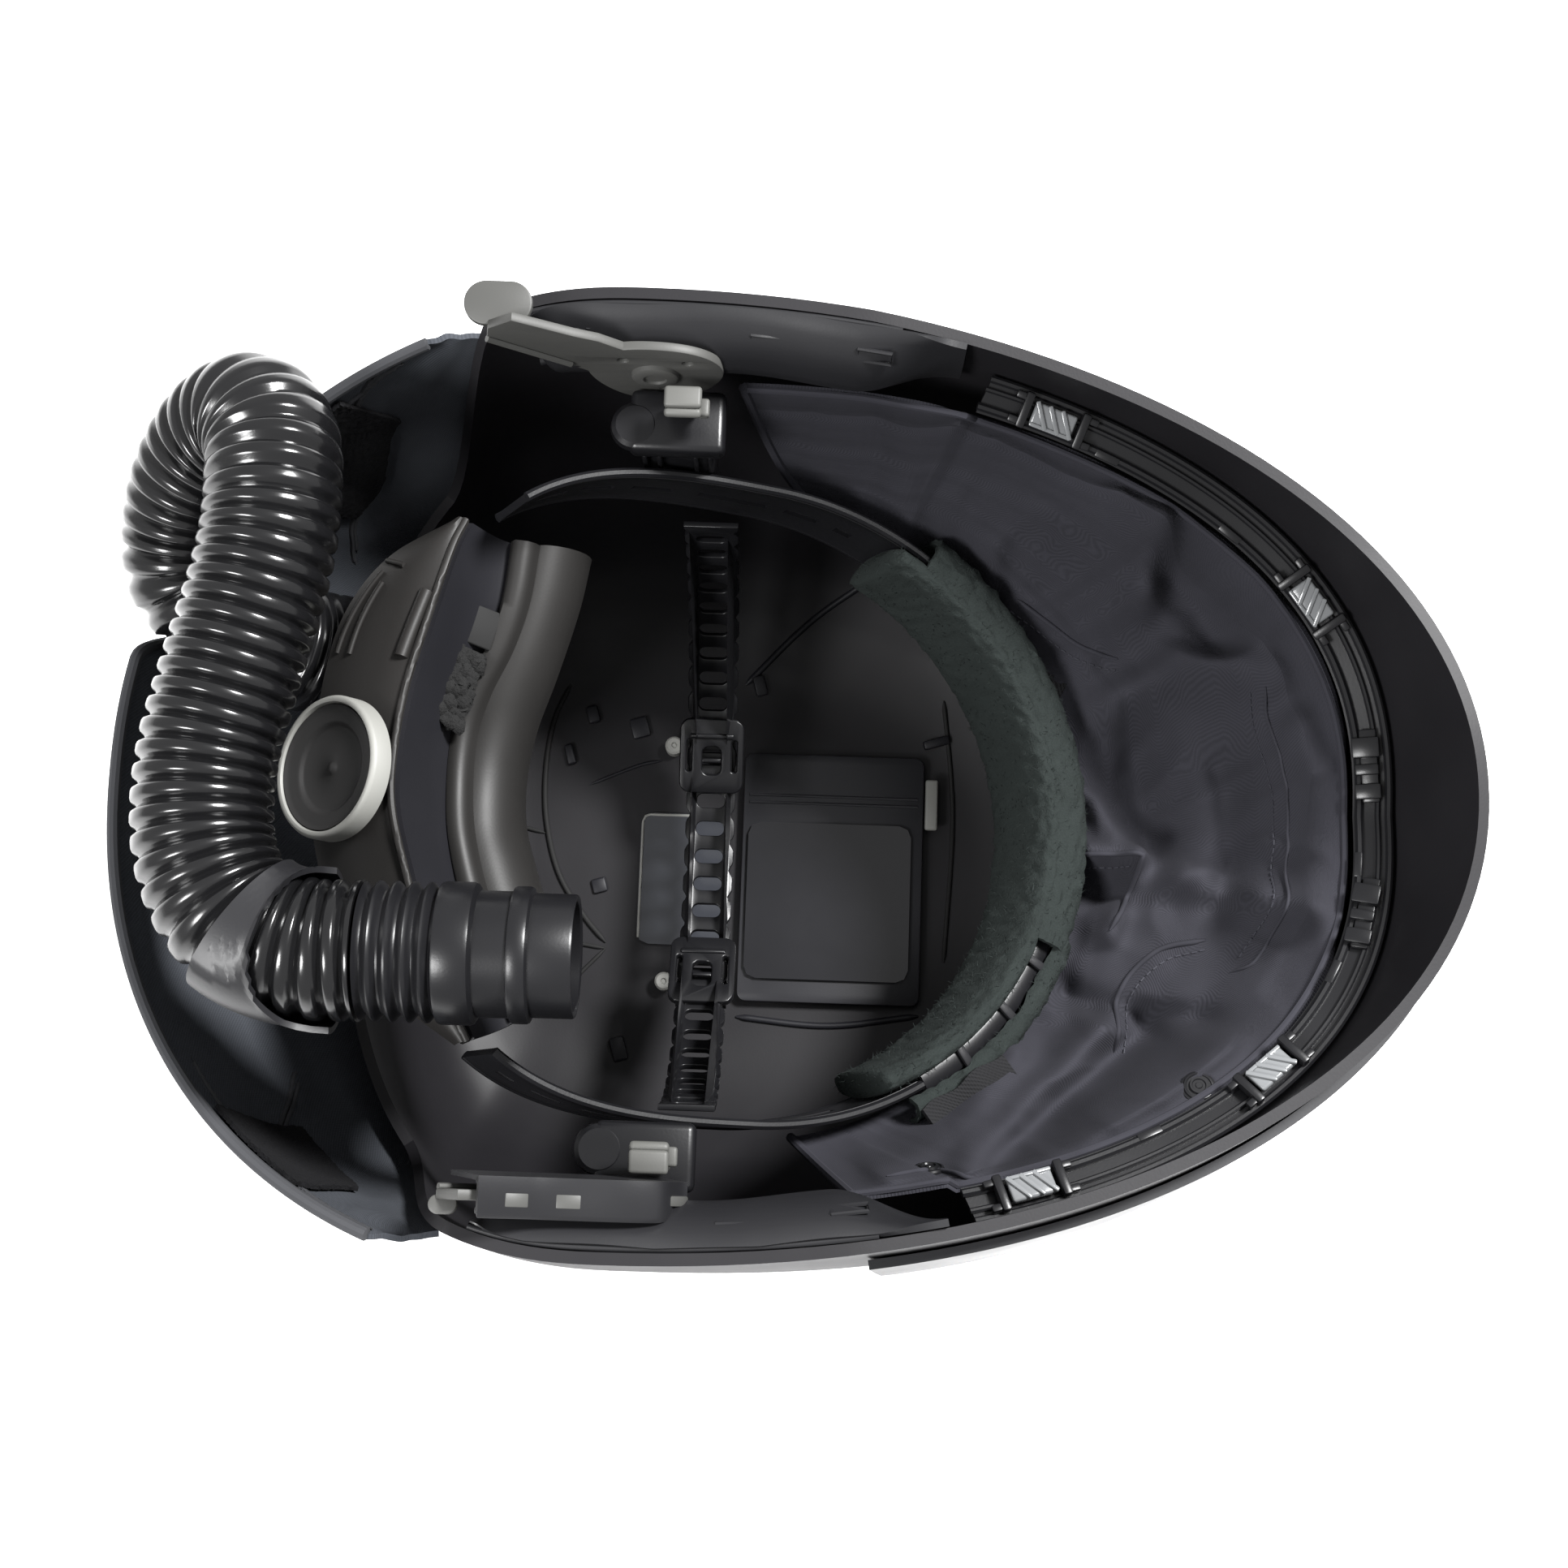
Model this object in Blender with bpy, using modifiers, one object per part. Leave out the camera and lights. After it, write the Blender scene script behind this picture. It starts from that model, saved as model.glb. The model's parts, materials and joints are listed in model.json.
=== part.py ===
"""Powered respirator welding helmet, lying on its crown with the neck opening up.

+X is the wearer's front, +Y the wearer's right, +Z up. The helmet stands upside down on z = 0.
"""
import math

import bmesh
import bpy
import numpy as np
from mathutils import Matrix, Vector
from mathutils.geometry import interpolate_bezier

MM = 0.001
GAP = 0.3 * MM                  # clearance between pieces that touch

# Shell
SHELL_MID_X = -40 * MM          # where the shell is widest
FRONT_REACH = 220 * MM          # from there to the chin
REAR_REACH = 88 * MM            # from there to the back
HALF_WIDTH = 127 * MM
SHELL_WALL = 3 * MM
RIM_SIDE = 188 * MM             # rim height at the sides
RIM_CHIN = 176 * MM
RIM_REAR = 92 * MM
RIM_DROP = (110, 134)           # plan angles in degrees between which the rim drops at the rear
SHELL_STEPS = 56
REAR_BLUNT = 2.5                # how squarely the back is rounded

# height share, front share, rear share, width share, bluntness of the front
SHELL_LEVELS = (
    (0.000, 0.40, 0.48, 0.42, 2.3),
    (0.001, 0.47, 0.58, 0.50, 2.3),
    (0.030, 0.55, 0.71, 0.66, 2.5),
    (0.100, 0.65, 0.84, 0.81, 2.6),
    (0.230, 0.745, 0.93, 0.92, 2.65),
    (0.400, 0.83, 0.97, 0.99, 2.65),
    (0.600, 0.90, 0.99, 1.01, 2.5),
    (0.800, 0.955, 1.00, 1.00, 2.28),
    (1.000, 1.00, 1.00, 0.98, 2.06),
)

# Front panel, window and lens
PANEL_WALL = 2.4 * MM
PANEL_ANGLE = 74                # degrees to each side of the front
PANEL_LOW, PANEL_HIGH = 0.10, 0.93
WINDOW_WIDTH, WINDOW_HEIGHT = 112 * MM, 68 * MM
WINDOW_LEVEL = 0.38             # height share of the window's centre
WINDOW_SLOPE = 24               # degrees that the window leans from upright
FRAME_BORDER, FRAME_DEPTH, FRAME_PROUD = 9 * MM, 18 * MM, 4 * MM
FRAME_CORNER = 6 * MM
LENS_THICK = 4 * MM

# Seal rail and clips
RAIL_WIDTH, RAIL_THICK = 9 * MM, 2.5 * MM
RAIL_INSET = 1.2 * MM           # clearance from the shell's inner side
RAIL_SLOPE = 0.4                # how steeply it slopes down inwards
RAIL_ANGLE = 66
RAIL_SIDE_DROP, RAIL_CHIN_DROP = 22 * MM, 38 * MM
CLIP_ANGLES = (60, 27, -35, -61)
CLIP_LONG, CLIP_WIDE, CLIP_HIGH = 20 * MM, 8 * MM, 4 * MM
CLIP_EDGE = 1 * MM
LATCH_ANGLES = (5, -11)
LATCH_LONG = 20 * MM

# Side frames
SIDE_FROM, SIDE_TO = -72 * MM, 28 * MM
SIDE_DEEP, SIDE_HIGH = 9 * MM, 22 * MM
SIDE_WALL, SIDE_LOW = 1.8 * MM, 4 * MM      # its wall, and how far it starts below the rim

# Head ring: the headband lies in a plane that leans forward
RING_CENTRE = Vector((-10 * MM, 0, 123 * MM))
RING_LEAN = 27.4                # degrees
RING_LONG, RING_WIDE = 99 * MM, 89 * MM
RING_REAR_BLUNT = 3.0           # how squarely the ring's rear is rounded
BAND_HIGH, BAND_THICK = 22 * MM, 2 * MM
BAND_END = 131                  # plan angle where the headband meets the cradle
SWEAT_ANGLE, SWEAT_HIGH, SWEAT_THICK = 66, 32 * MM, 7 * MM
BAND_CLIP_ANGLES = (-34, -44, -54)
BAND_CLIP_WIDE, BAND_CLIP_THICK, BAND_CLIP_PROUD = 5 * MM, 2 * MM, 1.5 * MM

# Rear cradle, knob and pad
PAD_RISE = 20 * MM              # how much higher its ends are than its middle
CRADLE_RIDGE = -3 * MM
CRADLE_SLOPE = 40 * MM          # length of the outer slope at its middle
CRADLE_SLOPE_END = 10 * MM
CRADLE_INNER = 36 * MM
CRADLE_IN = 9 * MM              # how far its lower edge leans inwards
CRADLE_WALL = 2.4 * MM
CRADLE_TILT = 37                # degrees that the outer slope's face leans back from up
KNOB_RADIUS, KNOB_THICK, KNOB_EDGE = 17 * MM, 7 * MM, 1 * MM
KNOB_RING_WIDE = 2 * MM
KNOB_ALONG = 21 * MM            # down the slope from the ridge
PAD_HIGH, PAD_THICK, PAD_IN, PAD_SEAT = 17 * MM, 4 * MM, 33 * MM, 1.9 * MM
PAD_DROP, PAD_ANGLE = 34 * MM, 48
FOAM_SIZE = (22 * MM, 14 * MM, 7 * MM)
FOAM_ANGLE, FOAM_DROP, FOAM_IN = 161, 12 * MM, 5.9 * MM

# Crown strap
STRAP_X = -24 * MM
STRAP_HALF_SPAN, STRAP_TOP, STRAP_LOW = 85 * MM, 121 * MM, 31 * MM
STRAP_WIDE, STRAP_THICK, STRAP_SLOT = 16 * MM, 1.8 * MM, 9.5 * MM
BUCKLE_LONG, BUCKLE_WIDE, BUCKLE_THICK = 22 * MM, 20 * MM, 3 * MM
BUCKLE_SLOT, BUCKLE_SIDE_SLOT = (2 * MM, 4.5 * MM), (4.5 * MM, 1 * MM)
BUCKLE_SIDE_AT = 7.6 * MM

# Pivots
PIVOT_IN = 18.1 * MM            # in from the shell's half width
PIVOT_X, PIVOT_Y, PIVOT_Z = -38 * MM, HALF_WIDTH - PIVOT_IN, 170 * MM
PIVOT_RADIUS, PIVOT_THICK = 18 * MM, 3 * MM
LEVER_END_X, LEVER_END_Z = -78 * MM, 197 * MM
LEVER_LEFT_DROP, WING_LEFT_SHARE = 5 * MM, 0.4     # the left lever lies lower, and its wing is folded in
LEVER_WIDE = 11 * MM
LEVER_TIP = 3 * MM
WING_LONG, WING_OUT, WING_THICK = 17 * MM, 12 * MM, 2.6 * MM
PLATE_HOLE = 1.8 * MM
PLATE_HOLES = ((-8, 9), (9, 8), (2, -10))   # in mm from the pivot's centre
BRACKET_LONG, BRACKET_HIGH, BRACKET_EDGE = 26 * MM, 34 * MM, 1.5 * MM
BRACKET_AHEAD, BRACKET_DROP = 6 * MM, 24 * MM    # from the pivot's centre
TAB_WIDE, TAB_HIGH, TAB_THICK, TAB_AHEAD = 11 * MM, 14 * MM, 3 * MM, 2 * MM

# Roof inside the crown
ROOF_THICK = 3 * MM
ROOF_PANEL = (-14 * MM, 46 * MM, -45 * MM, 38 * MM)
ROOF_LIFT = 1.2 * MM
LABEL_THICK, LABEL_CORNER = 1 * MM, 4 * MM
FRONT_LABEL, REAR_LABEL = (27 * MM, 26 * MM), (15 * MM, 22 * MM)     # half sizes
FRONT_LABEL_BY, REAR_LABEL_AT = (-1 * MM, -8 * MM), (-33 * MM, -5 * MM)
ROOF_EDGE = 0.8 * MM
PIN_RADIUS, PIN_HIGH = 3 * MM, 5 * MM
PIN_Y = 39.5 * MM
PIN_X = -38 * MM

# Cloth
CLOTH = 1.6 * MM
WEBBING_LONG, WEBBING_WIDE, WEBBING_THICK = 16 * MM, 8 * MM, 1.5 * MM
SEAL_SAG = 12 * MM
SEAL_ANGLE, SEAL_INNER_ANGLE = 84, 80
SEAL_INSET = 1.2 * MM           # from the rail's inner edge
SEAL_INNER_OUT = 3.3 * MM       # from the head ring
SNAP_RADIUS, SNAP_HIGH = 4.6 * MM, 2 * MM
COVER_REACH, COVER_HALF = 138.5 * MM, 129 * MM
COVER_RIGHT_IN = 7 * MM         # how much nearer its right edge lies
COVER_REAR_TOP, COVER_SIDE_TOP = 150 * MM, 172 * MM
COVER_FROM = 113                # plan angle where the neck cover starts
COVER_OVERLAP = 16 * MM         # how far it lies down over the shell
COVER_DIP = 34 * MM             # how far the hose presses its edge down
COVER_BULGE = 7 * MM
PATCH_THICK = 1.2 * MM
# plan angle in degrees, half width in degrees, height as a share of the sag
SEAL_FOLDS = ((38, 9, 0.9), (14, 7, -0.7), (-8, 10, 0.6), (-38, 13, -0.8), (-58, 9, 0.7), (62, 8, -0.6))

# Hose
HOSE_DIAMETER = 35 * MM
CUFF_LONG, CUFF_WALL, CUFF_SLACK, CUFF_END = 25 * MM, 1.6 * MM, 1.4 * MM, 6 * MM
CONNECTOR_LONG, CONNECTOR_BORE = 53 * MM, 12.5 * MM
GLAND_RADIUS, GLAND_FOOT, GLAND_LOW, GLAND_STEP = 18 * MM, 9 * MM, 12 * MM, 48 * MM
# The connector's outer side from its open end: share of the hose's radius, share of its length
CONNECTOR_STEPS = (
    (0.857, 1.00), (0.857, 0.74), (0.971, 0.73), (0.971, 0.66), (0.943, 0.65), (0.943, 0.50), (1.046, 0.49),
    (1.046, 0.35), (0.971, 0.33), (0.971, 0),
)
# The hose's route, chosen by hand, in mm
HOSE_ROUTE = (
    (-99, 40, 84), (-99, 40, 86), (-99, 40, 93), (-107, 40, 104), (-123, 40, 114), (-137, 40, 124), (-148, 42, 134),
    (-157, 47, 142), (-164, 55, 147), (-164, 66, 153), (-160, 77, 161), (-152, 86, 170), (-142, 88, 179),
    (-135, 80, 185), (-133, 68, 188), (-133, 54, 188.5), (-135, 40, 188.5), (-138, 26, 188.5), (-141, 12, 188.5),
    (-143.5, -2, 188.5), (-144, -16, 188.5), (-142, -29, 188.5), (-136, -41, 188.5), (-127, -48, 188.5),
    (-115, -51, 188.5), (-102, -51, 188.5),
)


def remove_objects():
    for item in list(bpy.data.objects):
        bpy.data.objects.remove(item, do_unlink=True)


def collection(name):
    found = bpy.data.collections.new(name)
    bpy.context.scene.collection.children.link(found)
    return found


remove_objects()
HELMET = collection("powered_respirator_welding_helmet")
CUTTERS = collection("cutters")


def material(name, colour, roughness, metallic=0.0):
    made = bpy.data.materials.new(name)
    made.use_nodes = True
    shader = made.node_tree.nodes["Principled BSDF"]
    shader.inputs["Base Color"].default_value = (*colour, 1)
    shader.inputs["Roughness"].default_value = roughness
    shader.inputs["Metallic"].default_value = metallic
    made.diffuse_color = (*colour, 1)
    return made


def place(name, mesh, finish, cutter=False):
    item = bpy.data.objects.new(name, mesh)
    (CUTTERS if cutter else HELMET).objects.link(item)
    if finish:
        mesh.materials.clear()
        mesh.materials.append(finish)
    if cutter:
        item.hide_render = True
        item.display_type = "WIRE"
    return item


def smooth(mesh, angle=32):
    mesh.shade_smooth()
    mesh.set_sharp_from_angle(angle=math.radians(angle))


def sheet(name, rows, thickness, finish, side=-1, closed=False, floor=False, holes=()):
    """A grid of points, row by row, thickened into a wall; holes lists the (row, column) faces left out."""
    mesh = bpy.data.meshes.new(name)
    work = bmesh.new()
    grid = [[work.verts.new(p) for p in row] for row in rows]
    across = len(rows[0]) if closed else len(rows[0]) - 1
    for i in range(len(rows) - 1):
        for j in range(across):
            if (i, j) not in holes:
                k = (j + 1) % len(rows[0])
                work.faces.new((grid[i][j], grid[i][k], grid[i + 1][k], grid[i + 1][j]))
    if floor:
        work.faces.new(tuple(reversed(grid[0])))
    loose = [v for v in work.verts if not v.link_faces]
    bmesh.ops.delete(work, geom=loose, context="VERTS")
    work.to_mesh(mesh)
    work.free()
    smooth(mesh)
    item = place(name, mesh, finish)
    wall = item.modifiers.new("wall", "SOLIDIFY")
    wall.thickness = thickness
    wall.offset = side
    wall.use_even_offset = True
    return item


def box(name, size, matrix, finish, bevel=0.0, cutter=False):
    """A box of the given size, centred on the matrix, with its edges bevelled."""
    mesh = bpy.data.meshes.new(name)
    work = bmesh.new()
    bmesh.ops.create_cube(work, size=1)
    bmesh.ops.scale(work, vec=size, verts=work.verts)
    work.to_mesh(mesh)
    work.free()
    item = place(name, mesh, finish, cutter)
    item.matrix_world = matrix
    if bevel:
        edge = item.modifiers.new("edge", "BEVEL")
        edge.width = bevel
        edge.segments = 1
    return item


def turned(name, profile, matrix, finish, sides=16, cutter=False):
    """A solid turned about its local Z from (radius, height) points that run down the outer side."""
    mesh = bpy.data.meshes.new(name)
    mesh.from_pydata([(r, 0, z) for r, z in profile], [(i, i + 1) for i in range(len(profile) - 1)], [])
    item = place(name, mesh, finish, cutter)
    item.matrix_world = matrix
    turn = item.modifiers.new("turn", "SCREW")
    turn.steps = turn.render_steps = sides
    turn.use_merge_vertices = True
    turn.merge_threshold = 1e-5
    turn.use_smooth_shade = True
    return item


def disc(radius, thick):
    """The profile of a plain disc whose lower face is at height 0."""
    return ((0, thick), (radius, thick), (radius, 0), (0, 0))


def outline(name, points, thick, matrix, finish, holes=()):
    """A flat plate: a filled 2D curve, extruded by half its thickness to each side."""
    curve = bpy.data.curves.new(name, "CURVE")
    curve.dimensions = "2D"
    curve.fill_mode = "BOTH"
    curve.extrude = thick / 2
    for ring in (points, *holes):
        spline = curve.splines.new("POLY")
        spline.points.add(len(ring) - 1)
        for point, (x, y) in zip(spline.points, ring):
            point.co = (x, y, 0, 1)
        spline.use_cyclic_u = True
    item = bpy.data.objects.new(name, curve)
    HELMET.objects.link(item)
    item.matrix_world = matrix
    return to_mesh(item, finish)


def to_mesh(item, finish):
    """Turns a curve object into a closed mesh object of the same name."""
    bpy.context.view_layer.update()
    seen = item.evaluated_get(bpy.context.evaluated_depsgraph_get())
    mesh = bpy.data.meshes.new_from_object(seen)
    work = bmesh.new()
    work.from_mesh(mesh)
    bmesh.ops.remove_doubles(work, verts=work.verts, dist=1e-6)
    work.to_mesh(mesh)
    work.free()
    name, matrix = item.name, item.matrix_world.copy()
    bpy.data.objects.remove(item, do_unlink=True)
    made = place(name, mesh, finish)
    made.matrix_world = matrix
    return made


def boolean(item, other, how):
    cut = item.modifiers.new(how.lower(), "BOOLEAN")
    cut.operation = how
    cut.object = other
    cut.solver = "EXACT"


def frame(origin, along, up):
    """A matrix at origin with its X along one direction and its Z as near up as can be."""
    x = Vector(along).normalized()
    y = Vector(up).cross(x).normalized()
    z = x.cross(y)
    return Matrix.Translation(Vector(origin)) @ Matrix((x, y, z)).transposed().to_4x4()


def rim(angle):
    """The rim's height at a plan angle in degrees."""
    turn = abs((angle + 180) % 360 - 180)
    if turn > RIM_DROP[0]:
        share = ease((turn - RIM_DROP[0]) / (RIM_DROP[1] - RIM_DROP[0]))
        return RIM_SIDE + (RIM_REAR - RIM_SIDE) * share
    share = min(1, turn / 75)
    return RIM_CHIN + (RIM_SIDE - RIM_CHIN) * share * share


def ease(share):
    """Goes smoothly from 0 to 1."""
    share = max(0, min(1, share))
    return share * share * (3 - 2 * share)


def signed_power(value, power):
    return math.copysign(abs(value) ** power, value)


def shell_point(angle, share, inset=0.0):
    """A point on the shell's outer side, or inset from it, at a plan angle and a share of the rim's height."""
    heights = [row[0] for row in SHELL_LEVELS]
    front, rear, wide, blunt = (float(np.interp(share, heights, [row[k] for row in SHELL_LEVELS])) for k in (1, 2, 3, 4))
    a = math.radians(angle)
    ahead = math.cos(a) > 0
    power = 2 / (blunt if ahead else REAR_BLUNT)
    reach = front * FRONT_REACH if ahead else rear * REAR_REACH
    x = SHELL_MID_X + (reach - inset) * signed_power(math.cos(a), power)
    y = (wide * HALF_WIDTH - inset) * signed_power(math.sin(a), power)
    return Vector((x, y, share * rim(angle)))


def wall_point(angle, height, inset):
    """The same, at a height instead of a share."""
    return shell_point(angle, height / rim(angle), inset)


def angle_at(x):
    """The plan angle at which the front half of the shell's rim passes x."""
    reach = FRONT_REACH if x > SHELL_MID_X else REAR_REACH
    return math.degrees(math.acos(signed_power((x - SHELL_MID_X) / reach, 1.03 if x > SHELL_MID_X else 1.25)))


LEAN = math.radians(RING_LEAN)
RING_UP = Vector((math.sin(LEAN), 0, math.cos(LEAN)))
RING_AHEAD = Vector((math.cos(LEAN), 0, -math.sin(LEAN)))


def ring_point(angle, high=0.0, out=0.0):
    """A point on the head ring at an angle from the front, raised along the head's axis and moved outwards."""
    a = math.radians(angle)
    power = 2 / RING_REAR_BLUNT if math.cos(a) < 0 else 1
    along = RING_AHEAD * (RING_LONG + out) * signed_power(math.cos(a), power)
    across = Vector((0, (RING_WIDE + out) * signed_power(math.sin(a), power), 0))
    return RING_CENTRE + along + across + RING_UP * high


def ring_frame(angle, high, out):
    """A matrix on the head ring: X along the band, Z outwards."""
    here = ring_point(angle, high, out)
    along = ring_point(angle + 1, high, out) - ring_point(angle - 1, high, out)
    return frame(here, along, along.cross(RING_UP))


def spread(low, high, count):
    return [low + (high - low) * i / (count - 1) for i in range(count)]


def make_shell(finish):
    angles = [360 * i / SHELL_STEPS for i in range(SHELL_STEPS)]
    rows = [[shell_point(a, level[0]) for a in angles] for level in SHELL_LEVELS]
    return sheet("helmet_shell", rows, SHELL_WALL, finish, closed=True, floor=True)


def make_front_panel(finish):
    angles = spread(-PANEL_ANGLE, PANEL_ANGLE, 31)
    shares = [PANEL_LOW] + [row[0] for row in SHELL_LEVELS if PANEL_LOW < row[0] < PANEL_HIGH] + [PANEL_HIGH]
    rows = [[shell_point(a, share, -GAP * 2) for a in angles] for share in shares]
    return sheet("front_panel", rows, PANEL_WALL, finish, side=1)


def window_frame():
    """A matrix at the window's centre: Z out of the window, X across it."""
    lean = math.radians(WINDOW_SLOPE)
    out = Vector((math.cos(lean), 0, -math.sin(lean)))
    centre = shell_point(0, WINDOW_LEVEL)
    return frame(centre, (0, 1, 0), out)


def make_window(shell, panel, frame_finish, lens_finish):
    at = window_frame()
    wide, high = WINDOW_WIDTH + 2 * FRAME_BORDER, WINDOW_HEIGHT + 2 * FRAME_BORDER
    hole = box("window_cutter", (wide + 2 * GAP, high + 2 * GAP, 4 * FRAME_DEPTH), at, None, cutter=True)
    boolean(shell, hole, "DIFFERENCE")
    boolean(panel, hole, "DIFFERENCE")
    half = (wide / 2, high / 2)
    inner = (WINDOW_WIDTH / 2, WINDOW_HEIGHT / 2)
    frame_at = at @ Matrix.Translation((0, 0, FRAME_PROUD - FRAME_DEPTH / 2))
    outline("window_frame", rounded(*half, FRAME_CORNER, 1), FRAME_DEPTH, frame_at, frame_finish,
            [rounded(*inner, FRAME_CORNER, 2)])
    lens_half = (inner[0] - GAP, inner[1] - GAP)
    outline("filter_lens", rounded(*lens_half, FRAME_CORNER - GAP, 2), LENS_THICK,
            at @ Matrix.Translation((0, 0, -LENS_THICK)), lens_finish)


def rounded(half_x, half_y, radius, steps):
    """A rectangle with rounded corners, as a ring of points."""
    points = []
    for quarter, (sx, sy) in enumerate(((1, 1), (-1, 1), (-1, -1), (1, -1))):
        for i in range(steps + 1):
            a = math.radians(90 * (quarter + i / steps))
            points.append((sx * (half_x - radius) + radius * math.cos(a), sy * (half_y - radius) + radius * math.sin(a)))
    return points


def rail_height(angle):
    share = min(1, abs(angle) / RAIL_ANGLE)
    return rim(angle) - RAIL_CHIN_DROP + (RAIL_CHIN_DROP - RAIL_SIDE_DROP) * share


def rail_point(angle, inwards, lift=0.0):
    height = rail_height(angle)
    return wall_point(angle, height, SHELL_WALL + RAIL_INSET + inwards) + Vector((0, 0, lift - inwards * RAIL_SLOPE))


def make_rail(rail_finish, clip_finish, latch_finish):
    angles = spread(-RAIL_ANGLE, RAIL_ANGLE, 41)
    rows = [[rail_point(a, share * RAIL_WIDTH) for a in angles] for share in (0, 1)]
    sheet("seal_rail", rows, RAIL_THICK, rail_finish, side=1)
    pieces = [(f"rail_clip_{i + 1}", a, CLIP_LONG, clip_finish) for i, a in enumerate(CLIP_ANGLES)]
    pieces += [(f"chin_latch_{i + 1}", a, LATCH_LONG, latch_finish) for i, a in enumerate(LATCH_ANGLES)]
    for name, angle, long, finish in pieces:
        low, high = rail_point(angle - 1, RAIL_WIDTH / 2), rail_point(angle + 1, RAIL_WIDTH / 2)
        along = high - low
        inwards = rail_point(angle, RAIL_WIDTH) - rail_point(angle, 0)
        up = inwards.cross(along)
        up = up if up.z > 0 else -up
        bow = long * long / 8 / (HALF_WIDTH * 0.7)
        lift = RAIL_THICK + CLIP_HIGH / 2 + GAP + bow * RAIL_SLOPE
        at = frame((low + high) / 2 + up.normalized() * lift, along, up)
        box(name, (long, CLIP_WIDE, CLIP_HIGH), at, finish, bevel=CLIP_EDGE)


def make_side_frame(side, finish):
    """The moulded panel inside the rim, with its long slot and its window."""
    name = "side_frame_right" if side > 0 else "side_frame_left"
    xs = spread(SIDE_FROM, SIDE_TO, 13)
    rows = []
    top = RIM_SIDE - SIDE_LOW
    for drop, deep in ((0.09, 0), (0.18, 0.55), (0.5, 1), (1, 0.7)):
        row = []
        for x in xs:
            angle = side * angle_at(x)
            point = wall_point(angle, top - drop * SIDE_HIGH, SHELL_WALL + 2 * GAP + deep * SIDE_DEEP)
            row.append(Vector((x, point.y, top - drop * SIDE_HIGH)))
        rows.append(row)
    if side < 0:
        rows = [list(reversed(row)) for row in rows]
    columns = len(xs) - 1
    picked = {(1, j if side < 0 else columns - 1 - j) for j in (5, 6, 7)} | {(1, 2 if side < 0 else columns - 3)}
    sheet(name, rows, SIDE_WALL, finish, side=-1, holes=picked)


def make_headband(finish, clip_finish, sweat_finish):
    angles = spread(-BAND_END, BAND_END, 53)
    heights = (-BAND_HIGH / 2, -BAND_HIGH / 6, BAND_HIGH / 6, BAND_HIGH / 2)
    rows = [[ring_point(a, h) for a in angles] for h in heights]
    slots = {(1, j) for j in range(2, 51) if j % 3 == 0 and (j < 12 or j > 40)}
    sheet("headband", rows, BAND_THICK, finish, side=-1, holes=slots)
    angles = spread(-SWEAT_ANGLE, SWEAT_ANGLE, 29)
    rows = [[ring_point(a, share * SWEAT_HIGH, -BAND_THICK - GAP) for a in angles] for share in (-1 / 2, -1 / 6, 1 / 6, 1 / 2)]
    sheet("sweatband", rows, SWEAT_THICK, sweat_finish, side=-1)
    for i, angle in enumerate(BAND_CLIP_ANGLES):
        at = ring_frame(angle, 0, 2 * GAP + BAND_CLIP_THICK * 0.45)
        box(f"band_clip_{i + 1}", (BAND_CLIP_WIDE, BAND_HIGH + 2 * BAND_CLIP_PROUD, BAND_CLIP_THICK), at, clip_finish, bevel=GAP)


def cradle_slope(angle):
    share = min(1, (180 - abs(abs((angle + 360) % 360) - 180) - BAND_END) / (180 - BAND_END))
    return CRADLE_SLOPE_END + (CRADLE_SLOPE - CRADLE_SLOPE_END) * math.sin(math.pi / 2 * max(0, share)) ** 0.7


def slope_axes(angle):
    """Down the cradle's outer slope, and out of its face, at an angle on the head ring."""
    tilt = math.radians(CRADLE_TILT)
    flat = ring_point(angle) - RING_CENTRE
    flat = Vector((flat.x, flat.y * 0.6, 0)).normalized()
    down = flat * math.cos(tilt) - Vector((0, 0, math.sin(tilt)))
    out = flat * math.sin(tilt) + Vector((0, 0, math.cos(tilt)))
    return down, out


def make_cradle(finish):
    angles = spread(BAND_END + 0.5, 359.5 - BAND_END, 21)
    rows = [[], [], [], [], []]
    for a in angles:
        ridge = ring_point(a, CRADLE_RIDGE)
        down, out = slope_axes(a)
        length = cradle_slope(a)
        rows[0].append(ridge + down * length)
        rows[1].append(ridge + down * length * 0.5)
        rows[2].append(ridge)
        rows[3].append(ring_point(a, CRADLE_RIDGE - CRADLE_INNER * 0.45, -CRADLE_IN * 0.22))
        rows[4].append(ring_point(a, CRADLE_RIDGE - CRADLE_INNER, -CRADLE_IN))
    sheet("rear_cradle", rows, CRADLE_WALL, finish, side=-1)


def make_knob(knob_finish, ring_finish):
    down, out = slope_axes(180)
    at = frame(ring_point(180, CRADLE_RIDGE) + down * KNOB_ALONG + out * 2 * GAP, down, out)
    top = KNOB_THICK
    turned("ratchet_knob", ((0, top - KNOB_EDGE), (KNOB_RADIUS * 0.18, top - 1.6 * KNOB_EDGE), (KNOB_RADIUS * 0.7, top - 2 * KNOB_EDGE),
           (KNOB_RADIUS - KNOB_EDGE, top), (KNOB_RADIUS, top - KNOB_EDGE), (KNOB_RADIUS, 0), (0, 0)), at, knob_finish, 20)
    inner, outer = KNOB_RADIUS + GAP, KNOB_RADIUS + GAP + KNOB_RING_WIDE
    low, high = KNOB_EDGE, KNOB_THICK - KNOB_EDGE / 2
    turned("knob_ring", ((inner, high), (outer, high), (outer, low), (inner, low), (inner, high)), at, ring_finish, 20)


def pad_out(angle):
    share = max(0, 1 - abs(angle - 180) / (PAD_ANGLE + 2))
    return -PAD_SEAT - (PAD_IN - PAD_SEAT) * math.sin(math.pi / 2 * share)


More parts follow.
